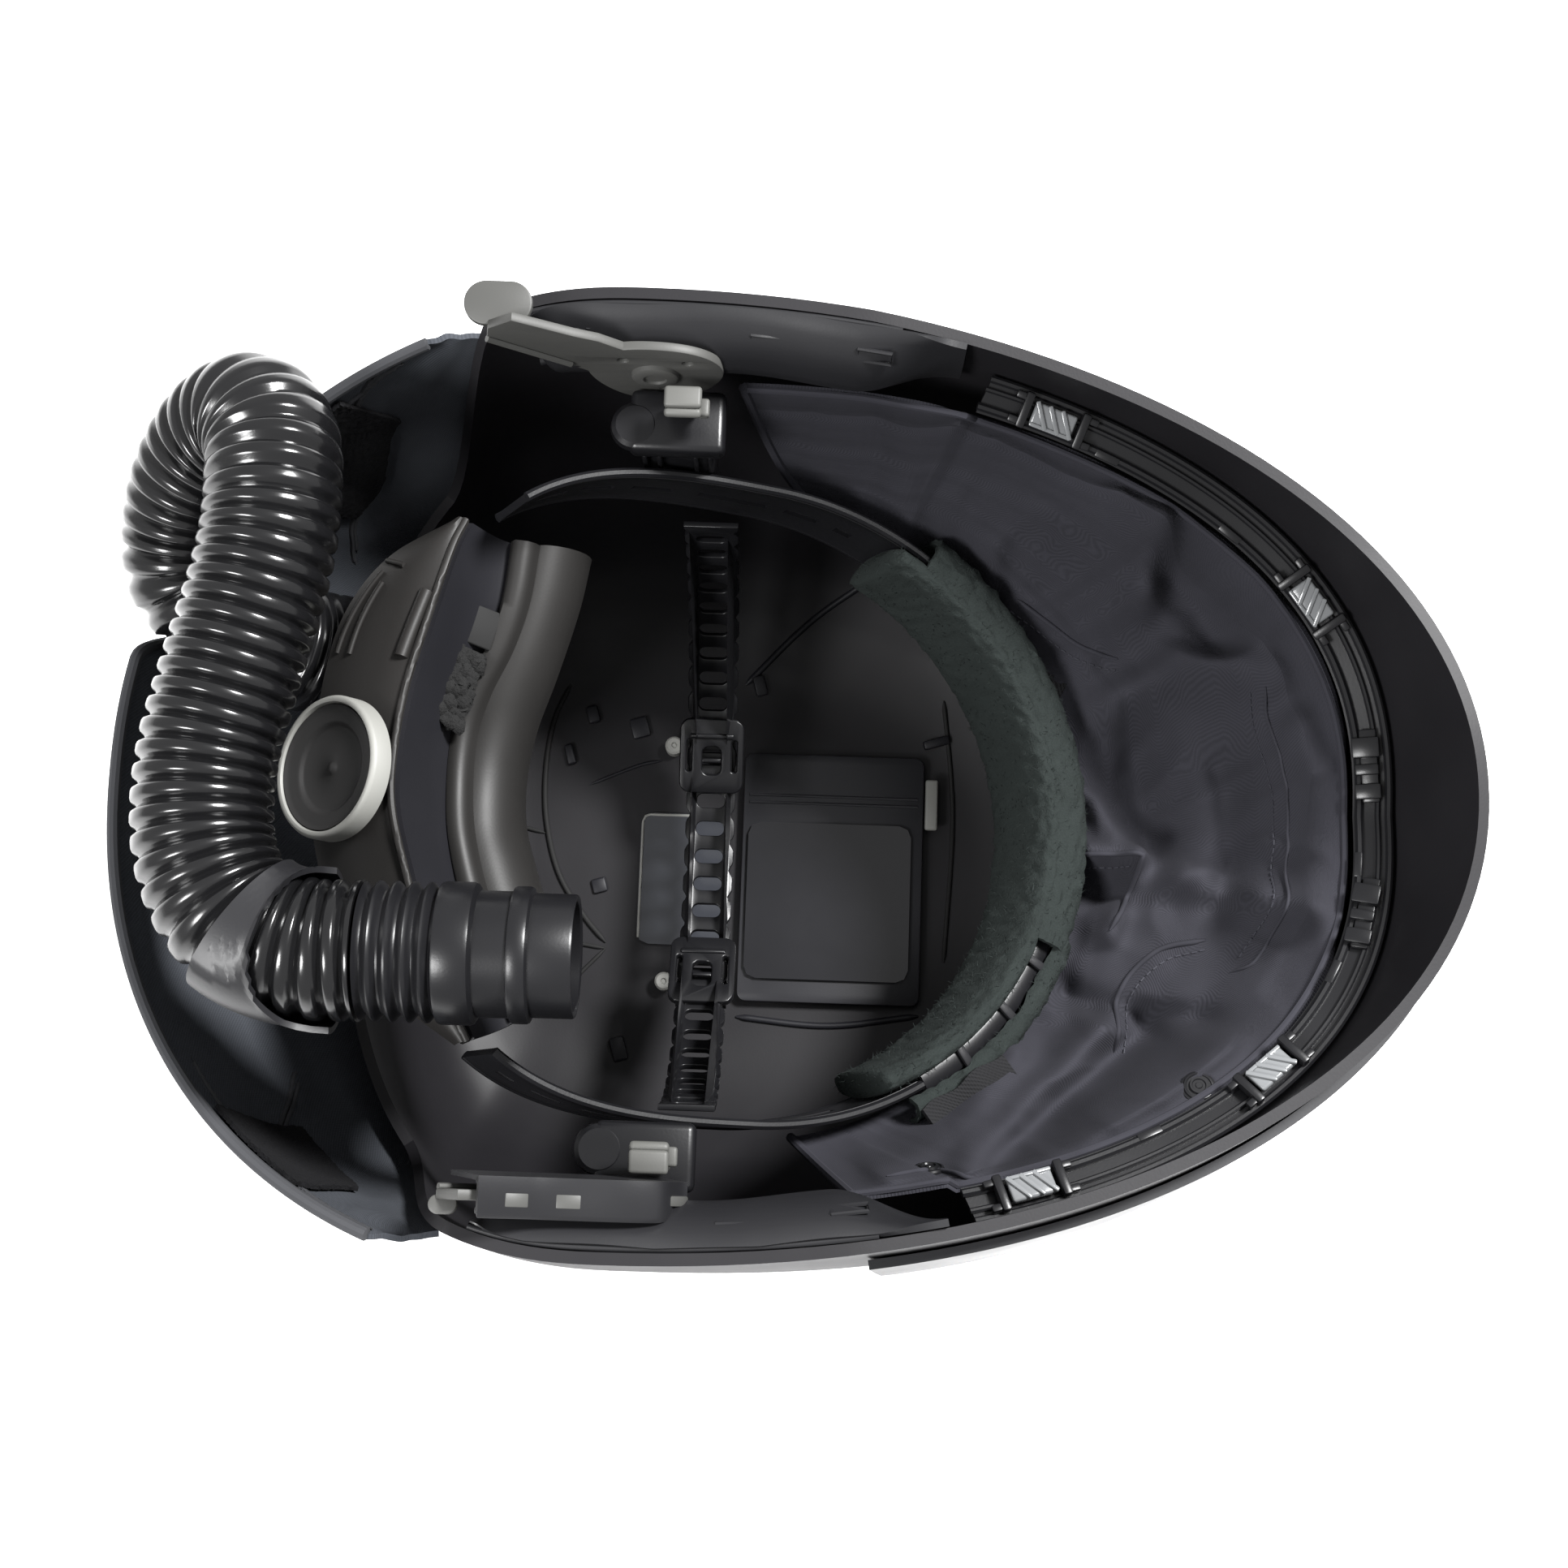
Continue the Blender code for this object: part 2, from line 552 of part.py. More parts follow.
def make_rear_pad(finish, foam_finish):
    angles = spread(180 - PAD_ANGLE, 180 + PAD_ANGLE, 17)
    rows = [[ring_point(a, h, pad_out(a)) for a in angles]
            for h in (-PAD_DROP - PAD_HIGH / 2, -PAD_DROP, -PAD_DROP + PAD_HIGH / 2)]
    for row in rows:
        for point, a in zip(row, angles):
            point += RING_UP * PAD_RISE * (abs(a - 180) / PAD_ANGLE) ** 2
    sheet("rear_pad", rows, PAD_THICK, finish, side=-1)
    at = ring_frame(FOAM_ANGLE, -FOAM_DROP, -FOAM_IN)
    box("nape_foam", FOAM_SIZE, at, foam_finish, bevel=FOAM_SIZE[2] * 0.28)


def strap_point(turn, drop=0.0, x=0.0):
    """A point on the crown strap: turn runs from 0 at the wearer's right to 1 at the left."""
    a = math.pi * turn
    y = (STRAP_HALF_SPAN + drop) * math.cos(a)
    z = STRAP_TOP - (STRAP_TOP - STRAP_LOW + drop) * math.sin(a) ** 0.9
    return Vector((STRAP_X + x, y, z))


def make_strap(name, low, high, count, drop, finish):
    """A ladder of slots between two edges."""
    turns = spread(low, high, count)
    edges = (-STRAP_WIDE / 2, -STRAP_SLOT / 2, STRAP_SLOT / 2, STRAP_WIDE / 2)
    rows = [[strap_point(t, drop, x) for x in edges] for t in turns]
    slots = {(i, 1) for i in range(1, count - 2) if i % 2 == 1}
    sheet(name, rows, STRAP_THICK, finish, side=1, holes=slots)


def make_crown_straps(strap_finish, buckle_finish):
    make_strap("crown_strap_right", 0.02, 0.42, 20, 0, strap_finish)
    make_strap("crown_strap_middle", 0.34, 0.70, 16, STRAP_THICK + 3 * GAP, strap_finish)
    make_strap("crown_strap_left", 0.62, 0.98, 20, 0, strap_finish)
    for name, turn in (("crown_buckle_right", 0.38), ("crown_buckle_left", 0.66)):
        along = strap_point(turn + 0.01) - strap_point(turn - 0.01)
        up = Vector((1, 0, 0)).cross(along)
        up = up if up.z > 0 else -up
        at = frame(strap_point(turn) + up.normalized() * (BUCKLE_THICK / 2 + 3 * GAP), along, up)
        slot = rounded(*BUCKLE_SLOT, BUCKLE_SLOT[0] * 0.75, 2)
        long_slot = rounded(*BUCKLE_SIDE_SLOT, BUCKLE_SIDE_SLOT[1] * 0.8, 1)
        sides = [[(x, y + s * BUCKLE_SIDE_AT) for x, y in long_slot] for s in (-1, 1)]
        outline(name, rounded(BUCKLE_LONG / 2, BUCKLE_WIDE / 2, BUCKLE_WIDE * 0.15, 2), BUCKLE_THICK, at, buckle_finish, [slot, *sides])


def make_pivot(side, plate_finish, bracket_finish, tab_finish):
    label = "right" if side > 0 else "left"
    end_z = LEVER_END_Z - (0 if side > 0 else LEVER_LEFT_DROP)
    wing_share = 1 if side > 0 else WING_LEFT_SHARE
    at = Matrix.Translation((0, side * PIVOT_Y, 0)) @ Matrix.Rotation(math.pi / 2, 4, "X")
    start = math.atan2(end_z - PIVOT_Z, LEVER_END_X - PIVOT_X)
    along = Vector((math.cos(start), math.sin(start)))
    over = Vector((-along.y, along.x))
    reach = Vector((LEVER_END_X - PIVOT_X, end_z - PIVOT_Z)).length
    half = LEVER_WIDE / 2
    join = math.asin(half / PIVOT_RADIUS)
    arc = [start + join + (2 * math.pi - 2 * join) * i / 18 for i in range(19)]
    points = [(PIVOT_X + PIVOT_RADIUS * math.cos(a), PIVOT_Z + PIVOT_RADIUS * math.sin(a)) for a in arc]
    centre = Vector((PIVOT_X, PIVOT_Z))
    for along_by, over_by in ((reach * 0.6, -half), (reach, -half * 0.8), (reach + LEVER_TIP, 0), (reach, half * 0.8), (reach * 0.6, half)):
        points.append(tuple(centre + along * along_by + over * over_by))
    plate = outline(f"pivot_plate_{label}", points, PIVOT_THICK, at, plate_finish,
                    [circle(PIVOT_X + dx * MM, PIVOT_Z + dz * MM, PLATE_HOLE, 6) for dx, dz in PLATE_HOLES])
    end = centre + along * reach
    wing_at = Matrix.Translation((end.x, side * (PIVOT_Y + WING_OUT * wing_share / 2), end.y - LEVER_TIP / 3))
    wing = box(f"wing_{label}_join", (WING_LONG * wing_share, WING_OUT * wing_share + PIVOT_THICK - GAP, WING_THICK), wing_at, None, cutter=True)
    boolean(plate, wing, "UNION")
    deep = PIVOT_Y - PIVOT_THICK / 2 - RING_WIDE - 2 * GAP
    bracket_at = Matrix.Translation((PIVOT_X + BRACKET_AHEAD, side * (PIVOT_Y - PIVOT_THICK / 2 - GAP - deep / 2), PIVOT_Z - BRACKET_DROP))
    box(f"pivot_bracket_{label}", (BRACKET_LONG, deep, BRACKET_HIGH), bracket_at, bracket_finish, bevel=BRACKET_EDGE)
    tab_at = bracket_at @ Matrix.Translation((TAB_AHEAD, 0, BRACKET_HIGH / 2 + TAB_HIGH / 2 + GAP))
    box(f"lock_tab_{label}", (TAB_WIDE, TAB_THICK, TAB_HIGH), tab_at, tab_finish, bevel=TAB_THICK * 0.4)


def circle(x, y, radius, steps):
    return [(x + radius * math.cos(2 * math.pi * i / steps), y + radius * math.sin(2 * math.pi * i / steps))
            for i in range(steps)]


def make_roof(panel_finish, label_finish, pale_finish, pin_finish):
    floor = SHELL_WALL + GAP
    low_x, high_x, low_y, high_y = ROOF_PANEL
    middle = Vector(((low_x + high_x) / 2, (low_y + high_y) / 2, floor + ROOF_LIFT + ROOF_THICK / 2))
    box("roof_panel", (high_x - low_x, high_y - low_y, ROOF_THICK), Matrix.Translation(middle), panel_finish, bevel=ROOF_EDGE)
    top = middle.z + ROOF_THICK / 2 + GAP + LABEL_THICK / 2
    at = Matrix.Translation((middle.x + FRONT_LABEL_BY[0], middle.y + FRONT_LABEL_BY[1], top))
    outline("front_label_plate", rounded(*FRONT_LABEL, LABEL_CORNER, 2), LABEL_THICK, at, label_finish)
    at = Matrix.Translation((*REAR_LABEL_AT, floor + LABEL_THICK / 2))
    outline("rear_label_plate", rounded(*REAR_LABEL, LABEL_CORNER, 2), LABEL_THICK, at, pale_finish)
    for i, side in enumerate((1, -1)):
        turned(f"roof_pin_{i + 1}", disc(PIN_RADIUS, PIN_HIGH), Matrix.Translation((PIN_X, side * PIN_Y, floor)), pin_finish, 12)


def seal_edge(share):
    """The face seal's outer edge: share runs from -1 at the left end to 1 at the right end."""
    angle = share * SEAL_ANGLE
    if abs(angle) <= RAIL_ANGLE:
        return rail_point(angle, RAIL_WIDTH + SEAL_INSET, -SEAL_INSET)
    further = wall_point(angle, rail_height(angle), SHELL_WALL + RAIL_INSET + RAIL_WIDTH + 2.5 * SEAL_INSET)
    blend = (abs(angle) - RAIL_ANGLE) / (SEAL_ANGLE - RAIL_ANGLE)
    return further - Vector((0, 0, SEAL_SAG * 0.67 * blend))


def seal_point(share, inwards):
    """A point on the face seal, from its outer edge (0) to the headband (1)."""
    outer = seal_edge(share)
    inner = ring_point(share * SEAL_INNER_ANGLE, -CLOTH, SEAL_INNER_OUT)
    sag = math.sin(math.pi * inwards)
    angle = share * SEAL_ANGLE
    folds = sum(high * math.exp(-(((angle - at) / wide) ** 2)) for at, wide, high in SEAL_FOLDS)
    point = outer.lerp(inner, inwards)
    return point + Vector((0, 0, -SEAL_SAG * sag * (1 - 0.45 * folds)))


def make_face_seal(cloth, snap_finish, webbing):
    rows = [[seal_point(s, i / 6) for s in spread(-1, 1, 43)] for i in range(7)]
    sheet("face_seal", rows, CLOTH, cloth, side=-1)
    for name, share, inwards in (("seal_snap_1", -0.43, 0.20), ("seal_snap_2", -0.80, 0.24)):
        turned(name, ((0, SNAP_HIGH), (SNAP_RADIUS * 0.48, SNAP_HIGH), (SNAP_RADIUS * 0.65, SNAP_HIGH * 0.5),
                      (SNAP_RADIUS, SNAP_HIGH * 0.4), (SNAP_RADIUS, 0), (0, 0)),
               seal_spot(share, inwards), snap_finish, 12)
    for name, share, inwards in (("webbing_end_1", 0.36, 0.80), ("webbing_end_2", -0.60, 0.62)):
        at = seal_spot(share, inwards) @ Matrix.Translation((0, 0, WEBBING_THICK / 2))
        box(name, (WEBBING_LONG, WEBBING_WIDE, WEBBING_THICK), at, webbing)


def seal_spot(share, inwards):
    """A matrix for a flat piece on the face seal, clear of the folds round it, with Z out of the cloth."""
    here = seal_point(share, inwards)
    along = seal_point(share + 0.02, inwards) - seal_point(share - 0.02, inwards)
    across = seal_point(share, inwards + 0.03) - seal_point(share, inwards - 0.03)
    up = along.cross(across).normalized()
    up = up if up.z > 0 else -up
    near = [seal_point(share + i * 0.02, inwards + j * 0.03) for i in (-2, -1, 0, 1, 2) for j in (-2, -1, 0, 1, 2)]
    rise = max((p - here).dot(up) for p in near)
    return frame(here + up * (rise + GAP), along, up)


def cover_point(angle, share, inwards=0.0):
    """A point on the neck cover, from the shell (0) to its free edge (1)."""
    turn = abs(angle - 180)
    pressed = ease((angle - 127) / 8) * ease((168 - angle) / 8)
    base = wall_point(angle, rim(angle) - COVER_OVERLAP, -2 * GAP)
    a = math.radians(angle)
    side = min(1, turn / (180 - COVER_FROM)) ** 2
    top_z = COVER_REAR_TOP + (COVER_SIDE_TOP - COVER_REAR_TOP) * side
    x = SHELL_MID_X + (COVER_REACH - inwards) * signed_power(math.cos(a), 2 / 2.2)
    half = COVER_HALF - (COVER_RIGHT_IN if a < math.pi else 0)
    y = (half - inwards) * signed_power(math.sin(a), 2 / 2.2)
    top = Vector((x, y, top_z - COVER_DIP * pressed))
    bulge = math.sin(math.pi * share) * COVER_BULGE * (1 - side)
    out = Vector((math.cos(a), math.sin(a), 0)) * (bulge - inwards)
    return base.lerp(top, share) + out


def make_neck_cover(cloth, patch_finish):
    angles = spread(COVER_FROM, 360 - COVER_FROM, 33)
    rows = [[cover_point(a, share) for a in angles] for share in (0, 0.12, 0.3, 0.5, 0.7, 0.86, 1)]
    sheet("neck_cover", rows, CLOTH, cloth, side=1)
    for name, low, high in (("hook_patch_right", 126, 140), ("hook_patch_left", 222, 236)):
        rows = [[cover_point(a, share, GAP) for a in spread(low, high, 4)] for share in (0.5, 0.65, 0.8, 0.93)]
        sheet(name, rows, PATCH_THICK, patch_finish, side=-1)


def hose_points():
    """The tube's points, read from a smooth curve through the route."""
    route = [Vector(p) * MM for p in HOSE_ROUTE]
    ends = [route[0] * 2 - route[1], *route, route[-1] * 2 - route[-2]]
    points = []
    for i in range(1, len(ends) - 2):
        a, b = ends[i], ends[i + 1]
        run = interpolate_bezier(a, a + (b - ends[i - 1]) / 6, b - (ends[i + 2] - a) / 6, b, 3)
        points += run[:-1]
    return points + [ends[-2]]


def make_hose(hose_finish, cuff_finish, fitting_finish):
    points = hose_points()
    foot = points[0]
    turned("hose_gland", ((0, 0), (GLAND_RADIUS, 0), (GLAND_RADIUS, GLAND_STEP - foot.z),
                          (GLAND_FOOT, GLAND_LOW - foot.z), (0, GLAND_LOW - foot.z)),
           Matrix.Translation(foot - Vector((0, 0, 3 * GAP))), fitting_finish)
    curve = bpy.data.curves.new("breathing_hose", "CURVE")
    curve.dimensions = "3D"
    curve.bevel_depth = HOSE_DIAMETER / 2
    curve.bevel_resolution = 2
    curve.use_fill_caps = True
    spline = curve.splines.new("POLY")
    spline.points.add(len(points) - 1)
    for point, where in zip(spline.points, points):
        point.co = (*where, 1)
    item = bpy.data.objects.new("breathing_hose", curve)
    HELMET.objects.link(item)
    to_mesh(item, hose_finish)
    along = (points[-1] - points[-2]).normalized()
    at = frame(points[-1], along.cross((0, 0, 1)), along)
    radius, long, bore = HOSE_DIAMETER / 2, CONNECTOR_LONG, CONNECTOR_BORE
    outer = [(r * radius, share * long + GAP) for r, share in CONNECTOR_STEPS]
    turned("hose_connector", [(0, long * 0.45), (bore, long * 0.45), (bore, long + GAP), *outer, (0, GAP)],
           at, fitting_finish, 20)
    run = [0]
    for before, after in zip(points, points[1:]):
        run.append(run[-1] + (after - before).length)
    rings = []
    for i in range(4):
        where = run[-1] - CUFF_END - CUFF_LONG * (1 - i / 3)
        k = max(j for j in range(len(run) - 1) if run[j] <= where)
        here = points[k].lerp(points[k + 1], (where - run[k]) / (run[k + 1] - run[k]))
        along = (points[min(k + 2, len(points) - 1)] - points[k - 1]).normalized()
        over = along.cross((0, 0, 1)).normalized()
        up = over.cross(along)
        turns = [2 * math.pi * j / 20 for j in range(20)]
        rings.append([here + (over * math.cos(a) + up * math.sin(a)) * (radius + CUFF_SLACK) for a in turns])
    sheet("hose_cuff", rings, CUFF_WALL, cuff_finish, side=-1, closed=True)


def build():
    shell_black = material("shell_plastic", (0.022, 0.021, 0.022), 0.55)
    panel_black = material("panel_plastic", (0.03, 0.03, 0.032), 0.32)
    frame_grey = material("frame_plastic", (0.055, 0.055, 0.06), 0.5)
    band_black = material("band_plastic", (0.028, 0.028, 0.03), 0.42)
    cradle_grey = material("cradle_plastic", (0.075, 0.07, 0.066), 0.55)
    pale = material("pale_plastic", (0.42, 0.42, 0.38), 0.5)
    lever_grey = material("lever_plastic", (0.21, 0.21, 0.2), 0.55)
    clip_clear = material("clip_plastic", (0.55, 0.56, 0.56), 0.35)
    label_black = material("label_face", (0.01, 0.01, 0.012), 0.2)
    label_silver = material("label_silver", (0.4, 0.42, 0.46), 0.3)
    lens_dark = material("lens_glass", (0.01, 0.02, 0.015), 0.08)
    hose_black = material("hose_plastic", (0.012, 0.012, 0.013), 0.25)
    fleece = material("sweat_fleece", (0.06, 0.075, 0.072), 0.95)
    seal_cloth = material("seal_cloth", (0.05, 0.05, 0.075), 0.85)
    cover_cloth = material("cover_cloth", (0.045, 0.05, 0.065), 0.9)
    hook = material("hook_loop", (0.008, 0.008, 0.01), 0.95)
    shell = make_shell(shell_black)
    panel = make_front_panel(panel_black)
    make_window(shell, panel, frame_grey, lens_dark)
    make_rail(band_black, clip_clear, band_black)
    for side in (1, -1):
        make_side_frame(side, frame_grey)
        make_pivot(side, lever_grey, band_black, pale)
    make_headband(band_black, band_black, fleece)
    make_cradle(cradle_grey)
    make_knob(frame_grey, pale)
    make_rear_pad(cradle_grey, frame_grey)
    make_crown_straps(band_black, band_black)
    make_roof(frame_grey, label_black, label_silver, pale)
    make_face_seal(seal_cloth, band_black, band_black)
    make_neck_cover(cover_cloth, hook)
    make_hose(hose_black, frame_grey, band_black)


build()
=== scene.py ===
"""The powered respirator welding helmet as photographed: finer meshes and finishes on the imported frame.

Lengths are in mm until a mesh is made. +X is the wearer's front, +Y the wearer's right, +Z up.
"""

import json
import math

import bmesh
import bpy
import numpy as np
from mathutils import Matrix, Vector, noise
from mathutils.geometry import interpolate_bezier


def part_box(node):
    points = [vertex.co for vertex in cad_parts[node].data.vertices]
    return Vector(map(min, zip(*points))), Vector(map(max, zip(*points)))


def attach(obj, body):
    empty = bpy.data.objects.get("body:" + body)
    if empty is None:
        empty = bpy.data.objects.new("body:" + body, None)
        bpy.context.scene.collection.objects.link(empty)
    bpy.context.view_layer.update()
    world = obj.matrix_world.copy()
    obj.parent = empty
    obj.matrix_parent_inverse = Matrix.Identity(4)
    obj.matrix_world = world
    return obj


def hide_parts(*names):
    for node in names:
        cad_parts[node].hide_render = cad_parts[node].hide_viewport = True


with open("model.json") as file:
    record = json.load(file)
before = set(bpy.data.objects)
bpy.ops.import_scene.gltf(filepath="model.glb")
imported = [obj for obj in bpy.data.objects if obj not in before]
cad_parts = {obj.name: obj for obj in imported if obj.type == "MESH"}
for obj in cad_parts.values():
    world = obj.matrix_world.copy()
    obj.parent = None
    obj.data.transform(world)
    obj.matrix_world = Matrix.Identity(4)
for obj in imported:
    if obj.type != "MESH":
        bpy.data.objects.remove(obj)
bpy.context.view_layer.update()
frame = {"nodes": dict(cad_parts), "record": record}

# One mm in the frame's metres, then the part's own sizes in mm and degrees
MM = 0.001
GAP = 0.3
GRAIN_SIZE = 0.7

SHELL_MID_X, FRONT_REACH, REAR_REACH, HALF_WIDTH, SHELL_WALL = -40, 220, 88, 127, 3
RIM_SIDE, RIM_CHIN, RIM_REAR, RIM_DROP = 188, 176, 92, (110, 134)
REAR_BLUNT = 2.5
# height share, front share, rear share, width share, bluntness of the front
SHELL_LEVELS = np.array((
    (0.000, 0.40, 0.48, 0.42, 2.3), (0.001, 0.47, 0.58, 0.50, 2.3), (0.030, 0.55, 0.71, 0.66, 2.5),
    (0.100, 0.65, 0.84, 0.81, 2.6), (0.230, 0.745, 0.93, 0.92, 2.65), (0.400, 0.83, 0.97, 0.99, 2.65),
    (0.600, 0.90, 0.99, 1.01, 2.5), (0.800, 0.955, 1.00, 1.00, 2.28), (1.000, 1.00, 1.00, 0.98, 2.06),
))
RAIL_WIDTH, RAIL_INSET, RAIL_SLOPE, RAIL_ANGLE = 9, 1.2, 0.4, 66
RAIL_SIDE_DROP, RAIL_CHIN_DROP = 22, 38
RING_CENTRE, RING_LEAN = Vector((-10, 0, 123)), math.radians(27.4)
RING_LONG, RING_WIDE, BAND_THICK, BAND_END, RING_REAR_BLUNT = 99, 89, 2, 131, 3.0
RING_UP = Vector((math.sin(RING_LEAN), 0, math.cos(RING_LEAN)))
RING_AHEAD = Vector((math.cos(RING_LEAN), 0, -math.sin(RING_LEAN)))
HOSE_DIAMETER, HOSE_PITCH, HOSE_GROOVE = 35, 5.0, 1.9
HOSE_ROUTE = (
    (-99, 40, 84), (-99, 40, 86), (-99, 40, 93), (-107, 40, 104), (-123, 40, 114), (-137, 40, 124), (-148, 42, 134),
    (-157, 47, 142), (-164, 55, 147), (-164, 66, 153), (-160, 77, 161), (-152, 86, 170), (-142, 88, 179),
    (-135, 80, 185), (-133, 68, 188), (-133, 54, 188.5), (-135, 40, 188.5), (-138, 26, 188.5), (-141, 12, 188.5),
    (-143.5, -2, 188.5), (-144, -16, 188.5), (-142, -29, 188.5), (-136, -41, 188.5), (-127, -48, 188.5),
    (-115, -51, 188.5), (-102, -51, 188.5),
)


# Small helpers

def spread(low, high, count):
    return [low + (high - low) * i / (count - 1) for i in range(count)]


def ease(share):
    share = max(0, min(1, share))
    return share * share * (3 - 2 * share)


def waves(*place, scale=1):
    """Soft noise, about -1 to 1, the same in each run."""
    return noise.noise(Vector(place) * scale)


def signed_power(value, power):
    return math.copysign(abs(value) ** power, value)


def frame_at(origin, along, up):
    """A matrix at origin with its X along one direction and its Z as near up as can be."""
    x = Vector(along).normalized()
    y = Vector(up).cross(x).normalized()
    return Matrix.Translation(Vector(origin)) @ Matrix((x, y, x.cross(y))).transposed().to_4x4()


def finished(item, look, slot=None, angle=35):
    """Gives a mesh object its finish, shades it smooth and lets it ride on the helmet; the slot argument is not used.
    """
    slot = slot or look
    item.data.materials.clear()
    item.data.materials.append(FINISH[look])
    item.data.shade_smooth()
    item.data.set_sharp_from_angle(angle=math.radians(angle))
    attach(item, "root")
    return item


def linked(name, mesh):
    item = bpy.data.objects.new(name, mesh)
    bpy.context.scene.collection.objects.link(item)
    return item


def baked(item):
    """Turns an object's modifiers into plain mesh."""
    bpy.context.view_layer.update()
    made = bpy.data.meshes.new_from_object(item.evaluated_get(bpy.context.evaluated_depsgraph_get()))
    item.modifiers.clear()
    item.data = made
    return item


def from_faces(name, points, faces):
    mesh = bpy.data.meshes.new(name)
    mesh.from_pydata([Vector(p) * MM for p in points], [], faces)
    mesh.update()
    return linked(name, mesh)


def wall(name, rows, thickness, side=-1, closed=False, floor=False, holes=()):
    """A grid of points, row by row, thickened into a wall, with a UV map in metres along and across it."""
    mesh = bpy.data.meshes.new(name)
    work = bmesh.new()
    grid = [[work.verts.new(Vector(p) * MM) for p in row] for row in rows]
    flat = work.loops.layers.uv.new("flat")
    count = len(rows[0])
    across = count if closed else count - 1
    along = np.zeros((len(rows), across + 1))
    down = np.zeros((len(rows), across + 1))
    for i, row in enumerate(rows):
        for j in range(1, across + 1):
            along[i, j] = along[i, j - 1] + (row[j % count] - row[j - 1]).length * MM
        for j in range(across + 1):
            if i:
                down[i, j] = down[i - 1, j] + (row[j % count] - rows[i - 1][j % count]).length * MM
    for i in range(len(rows) - 1):
        for j in range(across):
            if (i, j) in holes:
                continue
            k = (j + 1) % count
            face = work.faces.new((grid[i][j], grid[i][k], grid[i + 1][k], grid[i + 1][j]))
            for loop, (a, b) in zip(face.loops, ((i, j), (i, j + 1), (i + 1, j + 1), (i + 1, j))):
                loop[flat].uv = (along[a, b], down[a, b])
    if floor:
        work.faces.new(tuple(reversed(grid[0])))
    bmesh.ops.delete(work, geom=[v for v in work.verts if not v.link_faces], context="VERTS")
    work.to_mesh(mesh)
    work.free()
    item = linked(name, mesh)
    thick = item.modifiers.new("wall", "SOLIDIFY")
    thick.thickness = thickness * MM
    thick.offset = side
    thick.use_even_offset = True
    return baked(item)


def tube(name, centres, radii, sides):
    """A round tube through the centres, each ring with its own radius and square to the line."""
    points, faces = [], []
    over = Vector((0, 0, 1))
    for i, here in enumerate(centres):
        run = (centres[min(i + 1, len(centres) - 1)] - centres[max(i - 1, 0)]).normalized()
        over = (over - run * over.dot(run))
        if over.length < 1e-4:
            over = run.orthogonal()
        over.normalize()
        beside = run.cross(over)
        for j in range(sides):
            a = 2 * math.pi * j / sides
            points.append(here + (over * math.cos(a) + beside * math.sin(a)) * radii[i])
    for i in range(len(centres) - 1):
        for j in range(sides):
            k = (j + 1) % sides
            faces.append((i * sides + j, i * sides + k, (i + 1) * sides + k, (i + 1) * sides + j))
    faces.append(tuple(reversed(range(sides))))
    faces.append(tuple(range((len(centres) - 1) * sides, len(centres) * sides)))
    return from_faces(name, points, faces)


def turned(name, profile, matrix, sides=64):
    """A solid turned about the matrix's Z from (radius, height) points; its ends lie on the axis or meet."""
    points, faces, rings = [], [], []
    for radius, height in profile:
        if radius < 1e-6:
            rings.append([len(points)] * sides)
            points.append(matrix @ Vector((0, 0, height)))
            continue
        rings.append(list(range(len(points), len(points) + sides)))
        for j in range(sides):
            a = 2 * math.pi * j / sides
            points.append(matrix @ Vector((radius * math.cos(a), radius * math.sin(a), height)))
    if profile[0] == profile[-1]:
        rings[-1] = rings[0]
    for low, high in zip(rings, rings[1:]):
        for j in range(sides):
            k = (j + 1) % sides
            face = [low[j], high[j], high[k], low[k]]
            face = [v for i, v in enumerate(face) if v != face[i - 1]]
            if len(face) > 2:
                faces.append(tuple(face))
    return from_faces(name, points, faces)


def block(name, size, matrix, bevel=0.0, segments=3):
    """A box of the given size, centred on the matrix, with rounded edges."""
    mesh = bpy.data.meshes.new(name)
    work = bmesh.new()
    bmesh.ops.create_cube(work, size=1)
    bmesh.ops.scale(work, vec=size, verts=work.verts)
    if bevel:
        bmesh.ops.bevel(work, geom=work.edges[:], offset=bevel, segments=segments, profile=0.5, affect="EDGES")
    bmesh.ops.transform(work, matrix=Matrix.Scale(MM, 4) @ matrix, verts=work.verts)
    work.to_mesh(mesh)
    work.free()
    return linked(name, mesh)


def joined(name, items):
    """Several mesh objects as one piece."""
    work = bmesh.new()
    for item in items:
        work.from_mesh(item.data)
        bpy.data.objects.remove(item, do_unlink=True)
    mesh = bpy.data.meshes.new(name)
    work.to_mesh(mesh)
    work.free()
    return linked(name, mesh)


def smooth_line(route, step):
    """Points about every step mm on a smooth curve through the route."""
    ends = [route[0] * 2 - route[1], *route, route[-1] * 2 - route[-2]]
    dense = []
    for i in range(1, len(ends) - 2):
        a, b = ends[i], ends[i + 1]
        dense += interpolate_bezier(a, a + (b - ends[i - 1]) / 6, b - (ends[i + 2] - a) / 6, b, 24)[:-1]
    dense.append(ends[-2])
    run = np.concatenate(([0], np.cumsum([(q - p).length for p, q in zip(dense, dense[1:])])))
    count = max(2, round(run[-1] / step)) + 1
    where = np.linspace(0, run[-1], count)
    axes = [np.interp(where, run, [p[k] for p in dense]) for k in range(3)]
    return [Vector(p) for p in zip(*axes)], run[-1]


# The shell's and the head ring's own shapes, as in the part

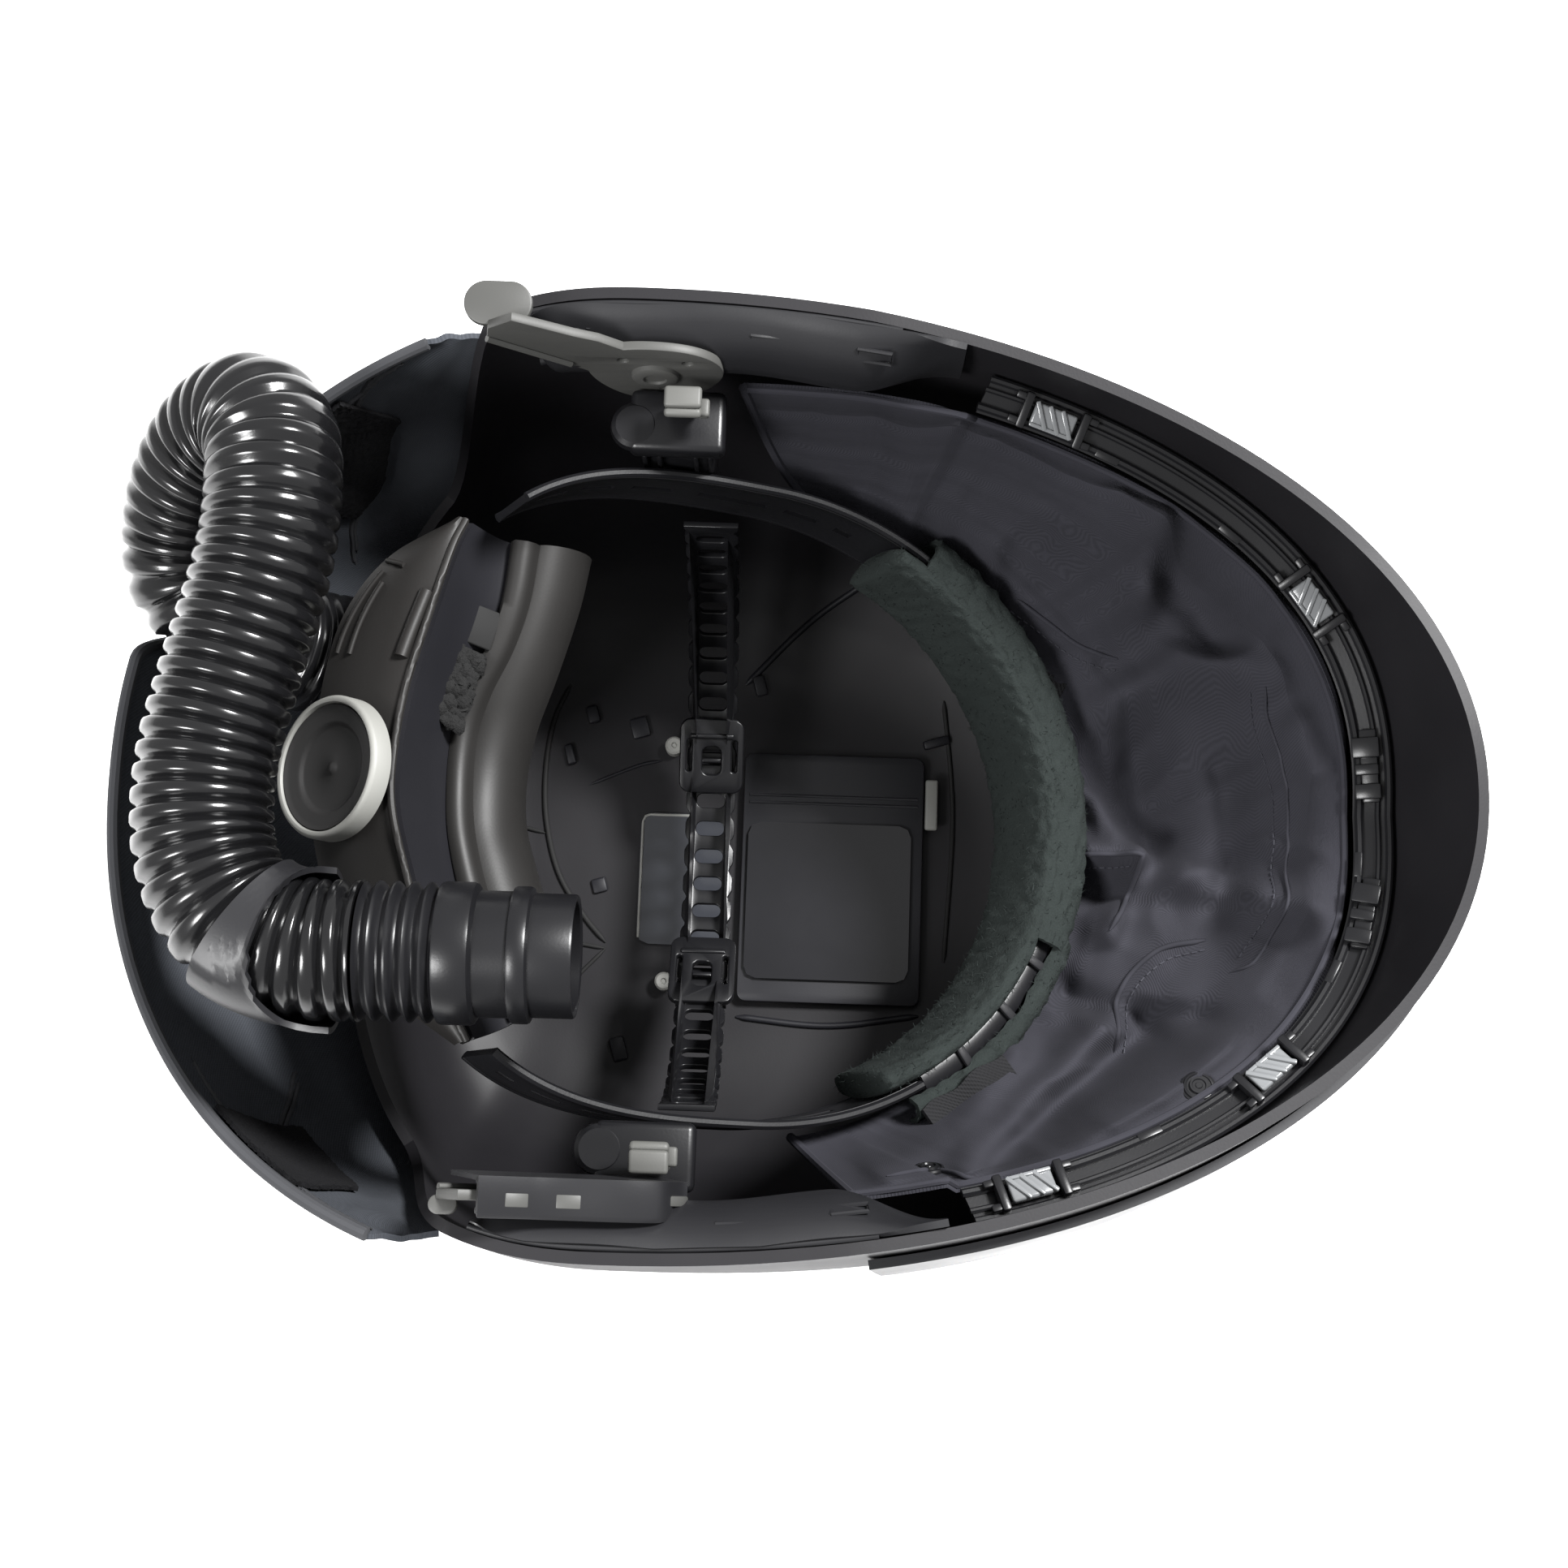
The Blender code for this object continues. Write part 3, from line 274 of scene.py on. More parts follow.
def level(share):
    """The row of SHELL_LEVELS at a share of the rim's height, on a smooth curve between the rows."""
    heights = SHELL_LEVELS[:, 0]
    share = min(1.0, max(0.0, share))
    k = min(len(heights) - 2, int(np.searchsorted(heights, share, side="right")) - 1)
    if share <= heights[2]:
        return [float(np.interp(share, heights, SHELL_LEVELS[:, c])) for c in range(1, 5)]
    a, b = SHELL_LEVELS[k], SHELL_LEVELS[k + 1]
    before, after = SHELL_LEVELS[max(k - 1, 0)], SHELL_LEVELS[min(k + 2, len(heights) - 1)]
    gap = b[0] - a[0]
    t = (share - a[0]) / gap
    slope_a = (b - before) / (b[0] - before[0]) if k > 2 else (b - a) / gap
    slope_b = (after - a) / (after[0] - a[0]) if k + 2 < len(heights) else (b - a) / gap
    value = ((2 * t ** 3 - 3 * t * t + 1) * a + (t ** 3 - 2 * t * t + t) * gap * slope_a
             + (3 * t * t - 2 * t ** 3) * b + (t ** 3 - t * t) * gap * slope_b)
    return [float(v) for v in value[1:]]


def rim(angle):
    """The rim's height at a plan angle in degrees."""
    turn = abs((angle + 180) % 360 - 180)
    if turn > RIM_DROP[0]:
        share = ease((turn - RIM_DROP[0]) / (RIM_DROP[1] - RIM_DROP[0]))
        return RIM_SIDE + (RIM_REAR - RIM_SIDE) * share
    share = min(1, turn / 75)
    return RIM_CHIN + (RIM_SIDE - RIM_CHIN) * share * share


def shell_point(angle, share, inset=0.0):
    """A point on the shell's outer side, or inset from it."""
    front, rear, wide, blunt = level(share)
    a = math.radians(angle)
    ahead = math.cos(a) > 0
    power = 2 / (blunt if ahead else REAR_BLUNT)
    reach = front * FRONT_REACH if ahead else rear * REAR_REACH
    x = SHELL_MID_X + (reach - inset) * signed_power(math.cos(a), power)
    y = (wide * HALF_WIDTH - inset) * signed_power(math.sin(a), power)
    return Vector((x, y, share * rim(angle)))


def wall_point(angle, height, inset):
    return shell_point(angle, height / rim(angle), inset)


def ring_point(angle, high=0.0, out=0.0):
    """A point on the head ring at an angle from the front, raised along the head's axis and moved outwards."""
    a = math.radians(angle)
    power = 2 / RING_REAR_BLUNT if math.cos(a) < 0 else 1
    along = RING_AHEAD * (RING_LONG + out) * signed_power(math.cos(a), power)
    across = Vector((0, (RING_WIDE + out) * signed_power(math.sin(a), power), 0))
    return RING_CENTRE + along + across + RING_UP * high


# Finishes

class Graph:
    """A small wrapper round a material's nodes."""

    def __init__(self, name):
        self.material = bpy.data.materials.new(name)
        self.material.use_nodes = True
        self.tree = self.material.node_tree
        self.shader = self.tree.nodes["Principled BSDF"]

    def add(self, kind, settings=None, **inputs):
        node = self.tree.nodes.new("ShaderNode" + kind)
        for key, value in (settings or {}).items():
            setattr(node, key, value)
        for key, value in inputs.items():
            self.put(node, key.replace("_", " ") if not key[1:].isdigit() else int(key[1:]), value)
        return node

    def put(self, node, key, value):
        socket = node.inputs[key]
        if isinstance(value, bpy.types.NodeSocket):
            self.tree.links.new(value, socket)
        else:
            socket.default_value = value

    def maths(self, how, a, b=0.0, clamp=False):
        return self.add("Math", {"operation": how, "use_clamp": clamp}, i0=a, i1=b).outputs[0]

    def blend(self, share, a, b):
        node = self.add("Mix", {"data_type": "RGBA"})
        self.put(node, 0, share)
        self.put(node, 6, a)
        self.put(node, 7, b)
        return node.outputs[2]

    def noise(self, where, per_mm, detail=2.0, rough=0.5):
        return self.add("TexNoise", None, Vector=where, Scale=per_mm / MM, Detail=detail, Roughness=rough).outputs[0]


def shade(colour, factor):
    return (*[min(1.0, c * factor) for c in colour[:3]], 1)


def plastic(name, colour, roughness, grain=0.03, patchy=0.25, specular=0.5):
    """Moulded plastic: a fine grain and uneven wear."""
    g = Graph(name)
    where = g.add("TexCoord").outputs["Object"]
    broad = g.noise(where, 0.03, 3)
    fine = g.noise(where, 1 / GRAIN_SIZE, 2)
    g.put(g.shader, "Base Color", g.blend(broad, shade(colour, 1 - patchy), shade(colour, 1 + patchy)))
    rough = g.maths("ADD", g.maths("MULTIPLY", g.maths("SUBTRACT", broad, 0.5), 0.18), roughness)
    g.put(g.shader, "Roughness", rough)
    g.put(g.shader, "Specular IOR Level", specular)
    bump = g.add("Bump", None, Strength=0.5, Distance=grain * MM, Height=fine)
    g.put(g.shader, "Normal", bump.outputs[0])
    return g.material


def cloth(name, colour, pitch=0.9, depth=0.12, slant=1.0, fuzz=0.3, patchy=0.35):
    """Woven cloth on the piece's own flat map: diagonal twill lines broken up by the cross threads."""
    g = Graph(name)
    where = g.add("UVMap", {"uv_map": "flat"}).outputs[0]
    parts = g.add("SeparateXYZ", None, i0=where)
    u, v = parts.outputs[0], parts.outputs[1]
    turn = 2 * math.pi / (pitch * MM)
    slope = g.maths("ADD", g.maths("MULTIPLY", u, turn), g.maths("MULTIPLY", v, turn * slant))
    lines = g.maths("SINE", slope)
    cross = g.maths("SINE", g.maths("MULTIPLY", u, turn * 1.9))
    weave = g.maths("ADD", g.maths("MULTIPLY", lines, 0.35), g.maths("MULTIPLY", cross, 0.15))
    object_place = g.add("TexCoord").outputs["Object"]
    broad = g.noise(object_place, 0.025, 4, 0.6)
    fine = g.noise(object_place, 2.2, 2)
    height = g.maths("ADD", weave, g.maths("MULTIPLY", fine, fuzz))
    tone = g.maths("ADD", g.maths("MULTIPLY", height, 0.5), g.maths("MULTIPLY", broad, 0.8), clamp=True)
    g.put(g.shader, "Base Color", g.blend(tone, shade(colour, 1 - patchy), shade(colour, 1 + patchy)))
    g.put(g.shader, "Roughness", 0.92)
    g.put(g.shader, "Specular IOR Level", 0.2)
    bump = g.add("Bump", None, Strength=0.8, Distance=depth * MM, Height=height)
    g.put(g.shader, "Normal", bump.outputs[0])
    return g.material


def pile(name, colour, size=0.8, depth=0.5, patchy=0.4):
    """Fleece, foam or hook-and-loop: soft clumps with no direction."""
    g = Graph(name)
    where = g.add("TexCoord").outputs["Object"]
    clumps = g.noise(where, 1 / size, 4, 0.65)
    broad = g.noise(where, 0.06, 2)
    tone = g.maths("ADD", g.maths("MULTIPLY", clumps, 0.7), g.maths("MULTIPLY", broad, 0.4), clamp=True)
    g.put(g.shader, "Base Color", g.blend(tone, shade(colour, 1 - patchy), shade(colour, 1 + patchy)))
    g.put(g.shader, "Roughness", 0.95)
    g.put(g.shader, "Specular IOR Level", 0.15)
    bump = g.add("Bump", None, Strength=1.0, Distance=depth * MM, Height=clumps)
    g.put(g.shader, "Normal", bump.outputs[0])
    return g.material


# name, how it is made, colour and what differs from that way's own values
FINISHES = (
    ("shell_plastic", plastic, (0.0105, 0.0100, 0.0115), dict(roughness=0.50, patchy=0.2, specular=0.22)),
    ("panel_plastic", plastic, (0.022, 0.022, 0.024), dict(roughness=0.36, grain=0.015, specular=0.25)),
    ("frame_plastic", plastic, (0.022, 0.022, 0.025), dict(roughness=0.42, specular=0.3)),
    ("band_plastic", plastic, (0.007, 0.007, 0.008), dict(roughness=0.33, specular=0.32)),
    ("cradle_plastic", plastic, (0.0155, 0.0145, 0.0138), dict(roughness=0.50, grain=0.04, patchy=0.12, specular=0.28)),
    ("pale_plastic", plastic, (0.23, 0.23, 0.215), dict(roughness=0.5, patchy=0.1)),
    ("lever_plastic", plastic, (0.058, 0.058, 0.055), dict(roughness=0.5, patchy=0.12, specular=0.35)),
    ("clip_plastic", plastic, (0.15, 0.155, 0.16), dict(roughness=0.2)),
    ("label_face", plastic, (0.008, 0.008, 0.010), dict(roughness=0.18, grain=0.005)),
    ("label_silver", plastic, (0.030, 0.032, 0.038), dict(roughness=0.16, grain=0.01)),
    ("lens_glass", plastic, (0.01, 0.02, 0.015), dict(roughness=0.05, grain=0.0)),
    ("hose_plastic", plastic, (0.0055, 0.0055, 0.006), dict(roughness=0.20, grain=0.02, patchy=0.1)),
    ("sweat_fleece", pile, (0.0165, 0.0205, 0.0195), dict()),
    ("seal_cloth", cloth, (0.0250, 0.0248, 0.0310), dict()),
    ("cover_cloth", cloth, (0.045, 0.049, 0.057), dict(pitch=1.1, slant=-1.0)),
    ("hook_loop", pile, (0.008, 0.008, 0.009), dict(size=0.6)),
    ("webbing", cloth, (0.012, 0.012, 0.013), dict(pitch=1.4, depth=0.25)),
    ("foam", pile, (0.018, 0.018, 0.018), dict(size=0.7, depth=0.7)),
    # painted shade: a near-black laid into slots, recesses, grooves and along ribs, in place of the shade inside those
    # hollows
    ("hollow_black", plastic, (0.003, 0.003, 0.003), dict(roughness=0.8)),
    ("tab_plastic", plastic, (0.085, 0.085, 0.080), dict(roughness=0.5, patchy=0.1, specular=0.35)),
    ("side_plastic", plastic, (0.0125, 0.0125, 0.014), dict(roughness=0.38, patchy=0.15, specular=0.35)),
    ("inner_plastic", plastic, (0.011, 0.011, 0.0135), dict(roughness=0.5, patchy=0.2, specular=0.25)),
    ("pad_plastic", plastic, (0.0150, 0.0143, 0.0137), dict(roughness=0.46, patchy=0.12, specular=0.28)),
    ("knob_plastic", plastic, (0.020, 0.0195, 0.0195), dict(roughness=0.5, patchy=0.15, specular=0.3)),
    ("thread_dark", plastic, (0.022, 0.022, 0.030), dict(roughness=0.8)),
    ("cover_piping", cloth, (0.045, 0.046, 0.050), dict(pitch=1.2)),
)
FINISH = {name: make(name, colour, **rest) for name, make, colour, rest in FINISHES}


def colour_the_rest():
    """The frame's own pieces take their slot's finish."""
    for row in frame["record"]["subparts"]:
        node = frame["nodes"][row["node"]]
        node.data.materials.clear()
        node.data.materials.append(FINISH[row["material_slot"]])


# Shell

def make_shell():
    steps = 192
    angles = [360 * i / steps for i in range(steps)]
    shares = [0, 0.001, 0.012, 0.03, 0.05, 0.075] + spread(0.1, 1.0, 30)
    rows = [[shell_point(a, s) for a in angles] for s in shares]
    shell = wall("helmet_shell_fine", rows, SHELL_WALL, closed=True, floor=True)
    cut_window(shell)
    finished(shell, "shell_plastic")
    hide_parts("helmet_shell")
    angles = spread(-74, 74, 121)
    rows = [[shell_point(a, s, -2 * GAP) for a in angles] for s in spread(0.10, 0.93, 28)]
    panel = wall("front_panel_fine", rows, 2.4, side=1)
    cut_window(panel)
    finished(panel, "panel_plastic")
    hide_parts("front_panel")


def cut_window(item):
    """The opening for the window's frame, where the part has it."""
    lean = math.radians(24)
    out = Vector((math.cos(lean), 0, -math.sin(lean)))
    cutter = block("window_cutter", (130.6, 86.6, 72), frame_at(shell_point(0, 0.38), (0, 1, 0), out))
    cut = item.modifiers.new("window", "BOOLEAN")
    cut.object = cutter
    cut.solver = "EXACT"
    baked(item)
    bpy.data.objects.remove(cutter, do_unlink=True)


# Hose

def make_hose():
    route = [Vector(p) for p in HOSE_ROUTE]
    centres, length = smooth_line(route, HOSE_PITCH / 8)
    radii = []
    for i in range(len(centres)):
        where = length - i * length / (len(centres) - 1)
        crest = 0.5 + 0.5 * math.cos(2 * math.pi * where / HOSE_PITCH)
        radii.append(HOSE_DIAMETER / 2 - HOSE_GROOVE * (1 - min(1, crest * 1.6)) ** 1.3)
    hose = tube("breathing_hose_ribbed", centres, radii, 56)
    finished(hose, "hose_plastic", angle=60)
    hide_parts("breathing_hose")
    along = (centres[-1] - centres[-2]).normalized()
    at = frame_at(centres[-1], along.cross((0, 0, 1)), along)
    outer = ((15, 53), (15.3, 52.4), (15.3, 42.5), (16.6, 42), (16.9, 41.4), (16.9, 38.2), (16.6, 37.6),
             (15.6, 37.2), (15.6, 29.2),
             (16.4, 28.9), (17.3, 28.3), (17.6, 27.4), (17.6, 20.6), (17.3, 19.8), (16.2, 19.4),
             *[(16.4 + 1.0 * math.cos(2 * math.pi * (z - 17.0) / 4.2), z) for z in spread(18.8, 0.8, 37)], (0, 0.3))
    profile = ((0, 24), (12.2, 24), (12.5, 24.6), (12.5, 46), (13.6, 46.5), (13.6, 52.6), (14.2, 53), *outer)
    connector = turned("hose_connector_fine", profile, at, 96)
    finished(connector, "band_plastic", "hose_plastic")
    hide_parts("hose_connector")
    line, reach = smooth_line(route, 1.0)
    first, last = reach - 31, reach - 6
    picked = [p for i, p in enumerate(line) if first <= i * reach / (len(line) - 1) <= last]
    outside = [19.6 + 0.9 * math.exp(-(((i - len(picked) + 1) / 1.6) ** 2)) for i in range(len(picked))]
    inside = [18.9] * len(picked)
    cuff = sleeve("hose_cuff_fine", picked, inside, outside, cut=15)
    finished(cuff, "side_plastic", "frame_plastic", 50)
    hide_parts("hose_cuff")


def sleeve(name, centres, inside, outside, sides=72, cut=0.0):
    """A round sleeve with closed rims, whose far end is cut back by so many mm on its upper side."""
    points, faces = [], []
    count = len(centres)
    over = Vector((0, 0, 1))
    for radii in (outside, inside):
        for i in range(count):
            for j in range(sides):
                a = 2 * math.pi * j / sides
                back = cut * max(0, math.cos(a)) ** 0.6 * (i / (count - 1))
                k = max(0, i - round(back))
                run_back = (centres[min(k + 1, count - 1)] - centres[max(k - 1, 0)]).normalized()
                side_back = (over - run_back * over.dot(run_back)).normalized()
                turned_out = side_back * math.cos(a) + run_back.cross(side_back) * math.sin(a)
                points.append(centres[k] + turned_out * radii[i])
    for j in range(sides):
        k = (j + 1) % sides
        for i in range(count - 1):
            a, b = i * sides, (i + 1) * sides
            faces.append((a + j, a + k, b + k, b + j))
            c, d = (count + i) * sides, (count + i + 1) * sides
            faces.append((c + k, c + j, d + j, d + k))
        last, base = (count - 1) * sides, count * sides
        faces.append((last + j, last + k, base + last + k, base + last + j))
        faces.append((k, j, base + j, base + k))
    return from_faces(name, points, faces)


# Cloth

SEAL_LEFT = 74
SEAL_ANGLE, SEAL_INNER_ANGLE, SEAL_SAG, SEAL_INSET, SEAL_INNER_OUT, CLOTH = 84, 80, 12, 1.2, 3.3, 1.6
SEAL_FOLDS = ((38, 9, 0.9), (14, 7, -0.7), (-8, 10, 0.6), (-38, 13, -0.8), (-58, 9, 0.7), (62, 8, -0.6))
# Soft folds and creases read off the photo: height, half width, and the (x, y) points of the line
CREASES = (
    (5.0, 9, ((45, 99), (73, 85), (100, 82))),
    (4.0, 7, ((97, 40), (111, 47), (133, 41))),
    (-6.0, 7, ((106, 73), (118, 66), (124, 57))),
    (5.0, 6, ((100, 66), (106, 82), (122, 74), (130, 62))),
    (-5.0, 9, ((106, 28), (104, 15), (109, 1))),
    (3.5, 4, ((71, -4), (87, -4), (104, -5))),
    (-4.5, 5, ((74, -13), (90, -14), (100, -16))),
    (3.0, 4, ((104, -5), (101, -17), (96, -28))),
    (4.0, 5, ((51, -98), (74, -75), (96, -53))),
    (4.5, 6, ((70, -100), (92, -84), (120, -65))),
    (-4.5, 5, ((60, -98), (82, -79), (106, -58))),
    (4.0, 6, ((29, -99), (50, -89), (68, -65))),
    (-3.5, 5, ((86, -46), (98, -52), (118, -54))),
    (3.5, 6, ((116, -12), (134, -20), (152, -31))),
    (3.0, 7, ((144, 26), (152, 3), (148, -24))),
    (-3.0, 5, ((128, 20), (131, 0), (126, -20))),
    (3.0, 4, ((38, 92), (50, 87), (59, 78))),
    (-3.5, 4, ((40, 84), (52, 79), (60, 72))),
    (2.5, 4, ((80, 20), (92, 12), (98, 2))),
)


def rail_height(angle):
    share = min(1, abs(angle) / RAIL_ANGLE)
    return rim(angle) - RAIL_CHIN_DROP + (RAIL_CHIN_DROP - RAIL_SIDE_DROP) * share


def rail_point(angle, inwards, lift=0.0):
    place = wall_point(angle, rail_height(angle), SHELL_WALL + RAIL_INSET + inwards)
    return place + Vector((0, 0, lift - inwards * RAIL_SLOPE))


def seal_edge(share):
    angle = share * (SEAL_ANGLE if share > 0 else SEAL_LEFT)
    if abs(angle) <= RAIL_ANGLE:
        return rail_point(angle, RAIL_WIDTH + SEAL_INSET, -SEAL_INSET)
    further = wall_point(angle, rail_height(angle), SHELL_WALL + RAIL_INSET + RAIL_WIDTH + 2.5 * SEAL_INSET)
    return further - Vector((0, 0, SEAL_SAG * 0.67 * (abs(angle) - RAIL_ANGLE) / (SEAL_ANGLE - RAIL_ANGLE)))


def near_line(x, y, line):
    """The distance from a place in plan to a line of points."""
    best = 1e9
    for (ax, ay), (bx, by) in zip(line, line[1:]):
        dx, dy = bx - ax, by - ay
        t = max(0, min(1, ((x - ax) * dx + (y - ay) * dy) / (dx * dx + dy * dy)))
        best = min(best, math.hypot(x - ax - t * dx, y - ay - t * dy))
    return best


def creased(place, hold):
    """The height that the creases add at a place; hold is 0 where the cloth is fixed."""
    if hold <= 0:
        return 0
    total = 0
    for high, wide, line in CREASES:
        off = near_line(place.x, place.y, line)
        if off < 3 * wide:
            total += high * math.exp(-((off / wide) ** 2))
    soft = waves(place.x, place.y, 0, scale=0.035) * 3.0 + waves(place.x, place.y, 9, scale=0.11) * 0.7
    ridged = 1 - abs(waves(place.x, place.y * 1.3, 21, scale=0.045)) * 3
    return (total * 2.5 + soft * 1.6 + 2.2 * max(0, ridged)) * hold


def seal_point(share, inwards):
    outer = seal_edge(share)
    inner = ring_point(share * SEAL_INNER_ANGLE, -CLOTH, SEAL_INNER_OUT)
    sag = math.sin(math.pi * inwards)
    angle = share * SEAL_ANGLE
    folds = sum(high * math.exp(-(((angle - at) / wide) ** 2)) for at, wide, high in SEAL_FOLDS)
    point = outer.lerp(inner, inwards) + Vector((0, 0, -SEAL_SAG * sag * (1 - 0.25 * folds)))
    hold = min(1, inwards / 0.12) * min(1, (1 - inwards) / 0.12) * min(1, (1 - abs(share)) / 0.05)
    lift = creased(point, hold)
    gather = math.sin(angle * 3.1 + 2 * math.sin(angle * 0.7)) * 0.5 * ease((inwards - 0.8) / 0.2)
    return point + Vector((0, 0, lift + gather * (1 - ease((inwards - 0.97) / 0.03))))


# Geometry node trees for what repeats

class Tree:
    """A geometry node tree with named sizes, a material and one base mesh."""

    def __init__(self, name, sizes):
        self.tree = bpy.data.node_groups.new(name, "GeometryNodeTree")
        face = self.tree.interface
        face.new_socket("Base", in_out="INPUT", socket_type="NodeSocketGeometry")
        self.keys = {}
        for label, value in sizes.items():
            socket = face.new_socket(label, in_out="INPUT", socket_type="NodeSocketFloat")
            socket.default_value = value
            self.keys[label] = socket.identifier
        self.keys["Finish"] = face.new_socket("Finish", in_out="INPUT", socket_type="NodeSocketMaterial").identifier
        face.new_socket("Made", in_out="OUTPUT", socket_type="NodeSocketGeometry")
        self.given = self.tree.nodes.new("NodeGroupInput").outputs
        self.end = self.tree.nodes.new("NodeGroupOutput")

    def add(self, kind, sockets, **settings):
        node = self.tree.nodes.new(kind)
        for key, value in settings.items():
            setattr(node, key, value)
        for key, value in sockets.items():
            if isinstance(value, bpy.types.NodeSocket):
                self.tree.links.new(value, node.inputs[key])
            else:
                node.inputs[key].default_value = value
        return node.outputs

    def close(self, made):
        """Realises the instances, sets the material and hands the result out."""
        real = self.add("GeometryNodeRealizeInstances", {"Geometry": made})["Geometry"]
        done = self.add("GeometryNodeSetMaterial", {"Geometry": real, "Material": self.given["Finish"]})["Geometry"]
        self.tree.links.new(done, self.end.inputs["Made"])

    def grown(self, base, look, sizes):
        """The plain mesh object that the tree makes of a base; the base keeps no modifier."""
        step = base.modifiers.new("grown", "NODES")
        step.node_group = self.tree
        step[self.keys["Finish"]] = FINISH[look]
        for label, value in sizes.items():
            step[self.keys[label]] = value
        return baked(base)


def stitch_tree():
    """Small boxes in a row along a line."""
    tree = Tree("stitch_row", {"Pitch": 2.4 * MM, "Length": 1.5 * MM, "Width": 0.35 * MM, "Height": 0.3 * MM})
    path = tree.add("GeometryNodeMeshToCurve", {"Mesh": tree.given["Base"]})["Curve"]
    spaced = tree.add("GeometryNodeResampleCurve", {"Curve": path, "Length": tree.given["Pitch"]},
                      mode="LENGTH")["Curve"]
    size = tree.add("ShaderNodeCombineXYZ", {"X": tree.given["Length"], "Y": tree.given["Width"],
                                             "Z": tree.given["Height"]})["Vector"]
    stitch = tree.add("GeometryNodeMeshCube", {"Size": size})["Mesh"]
    along = tree.add("GeometryNodeInputTangent", {})["Tangent"]
    turn = tree.add("FunctionNodeAlignRotationToVector", {"Vector": along}, axis="X", pivot_axis="AUTO")["Rotation"]
    tree.close(tree.add("GeometryNodeInstanceOnPoints",
                        {"Points": spaced, "Instance": stitch, "Rotation": turn})["Instances"])
    return tree


def hair_tree():
    """Short fine hairs scattered over a mesh, leaning at random, beside the mesh itself."""
    tree = Tree("fleece_hairs", {"Density": 160000.0, "Length": 1.5 * MM, "Radius": 0.12 * MM})
    spots = tree.add("GeometryNodeDistributePointsOnFaces",
                     {"Mesh": tree.given["Base"], "Density": tree.given["Density"], "Seed": 7})
    hair = tree.add("GeometryNodeMeshCone", {"Vertices": 3, "Radius Top": 0.02 * MM,
                                             "Radius Bottom": tree.given["Radius"],
                                             "Depth": tree.given["Length"]})["Mesh"]
    lean = tree.add("FunctionNodeRandomValue", {0: (-1.1, -1.1, -3.1), 1: (1.1, 1.1, 3.1), "Seed": 3},
                    data_type="FLOAT_VECTOR")[0]
    turned_hair = tree.add("FunctionNodeRotateRotation", {"Rotation": spots["Rotation"], "Rotate By": lean},
                           rotation_space="LOCAL")["Rotation"]
    hairs = tree.add("GeometryNodeInstanceOnPoints",
                     {"Points": spots["Points"], "Instance": hair, "Rotation": turned_hair})["Instances"]
    both = tree.tree.nodes.new("GeometryNodeJoinGeometry")
    for part in (tree.given["Base"], hairs):
        tree.tree.links.new(part, both.inputs[0])
    tree.close(both.outputs[0])
    return tree


def line_mesh(name, points):
    mesh = bpy.data.meshes.new(name)
    mesh.from_pydata([p * MM for p in points], [(i, i + 1) for i in range(len(points) - 1)], [])
    return linked(name, mesh)


STITCHES, HAIRS = stitch_tree(), hair_tree()


def stitch_row(name, points, look, pitch=2.4, length=1.5):
    return STITCHES.grown(line_mesh(name, points), look, {"Pitch": pitch * MM, "Length": length * MM})


def drop_on(item, x, y, lift=0.0):
    """The place on top of a piece at x and y, and the direction that its surface faces."""
    hit, place, facing, _ = item.ray_cast(Vector((x * MM, y * MM, 0.4)), Vector((0, 0, -1)))
    if not hit:
        return None, None
    facing = facing if facing.z > 0 else -facing
    return place / MM + facing * lift, facing


def laid_line(name, item, route, radius, look, slot, stitches=False, lift=0.2):
    """A raised seam that follows a line in plan over a piece, or a row of stitches there."""
    centres, _ = smooth_line([Vector((x, y, 0)) for x, y in route], 1.2)
    laid = [drop_on(item, p.x, p.y, lift)[0] for p in centres]
    laid = [p for p in laid if p is not None]
    parts = []
    if len(laid) > 3:
        if stitches:
            parts.append(stitch_row("stitches", [p + Vector((0, 0, 0.1)) for p in laid], look))
        else:
            radii = [radius * min(1, 0.3 + min(i, len(laid) - 1 - i) * 0.3) for i in range(len(laid))]
            parts.append(tube("seam", laid, radii, 8))
        return finished(joined(name, parts), look, slot, 60)
    return None


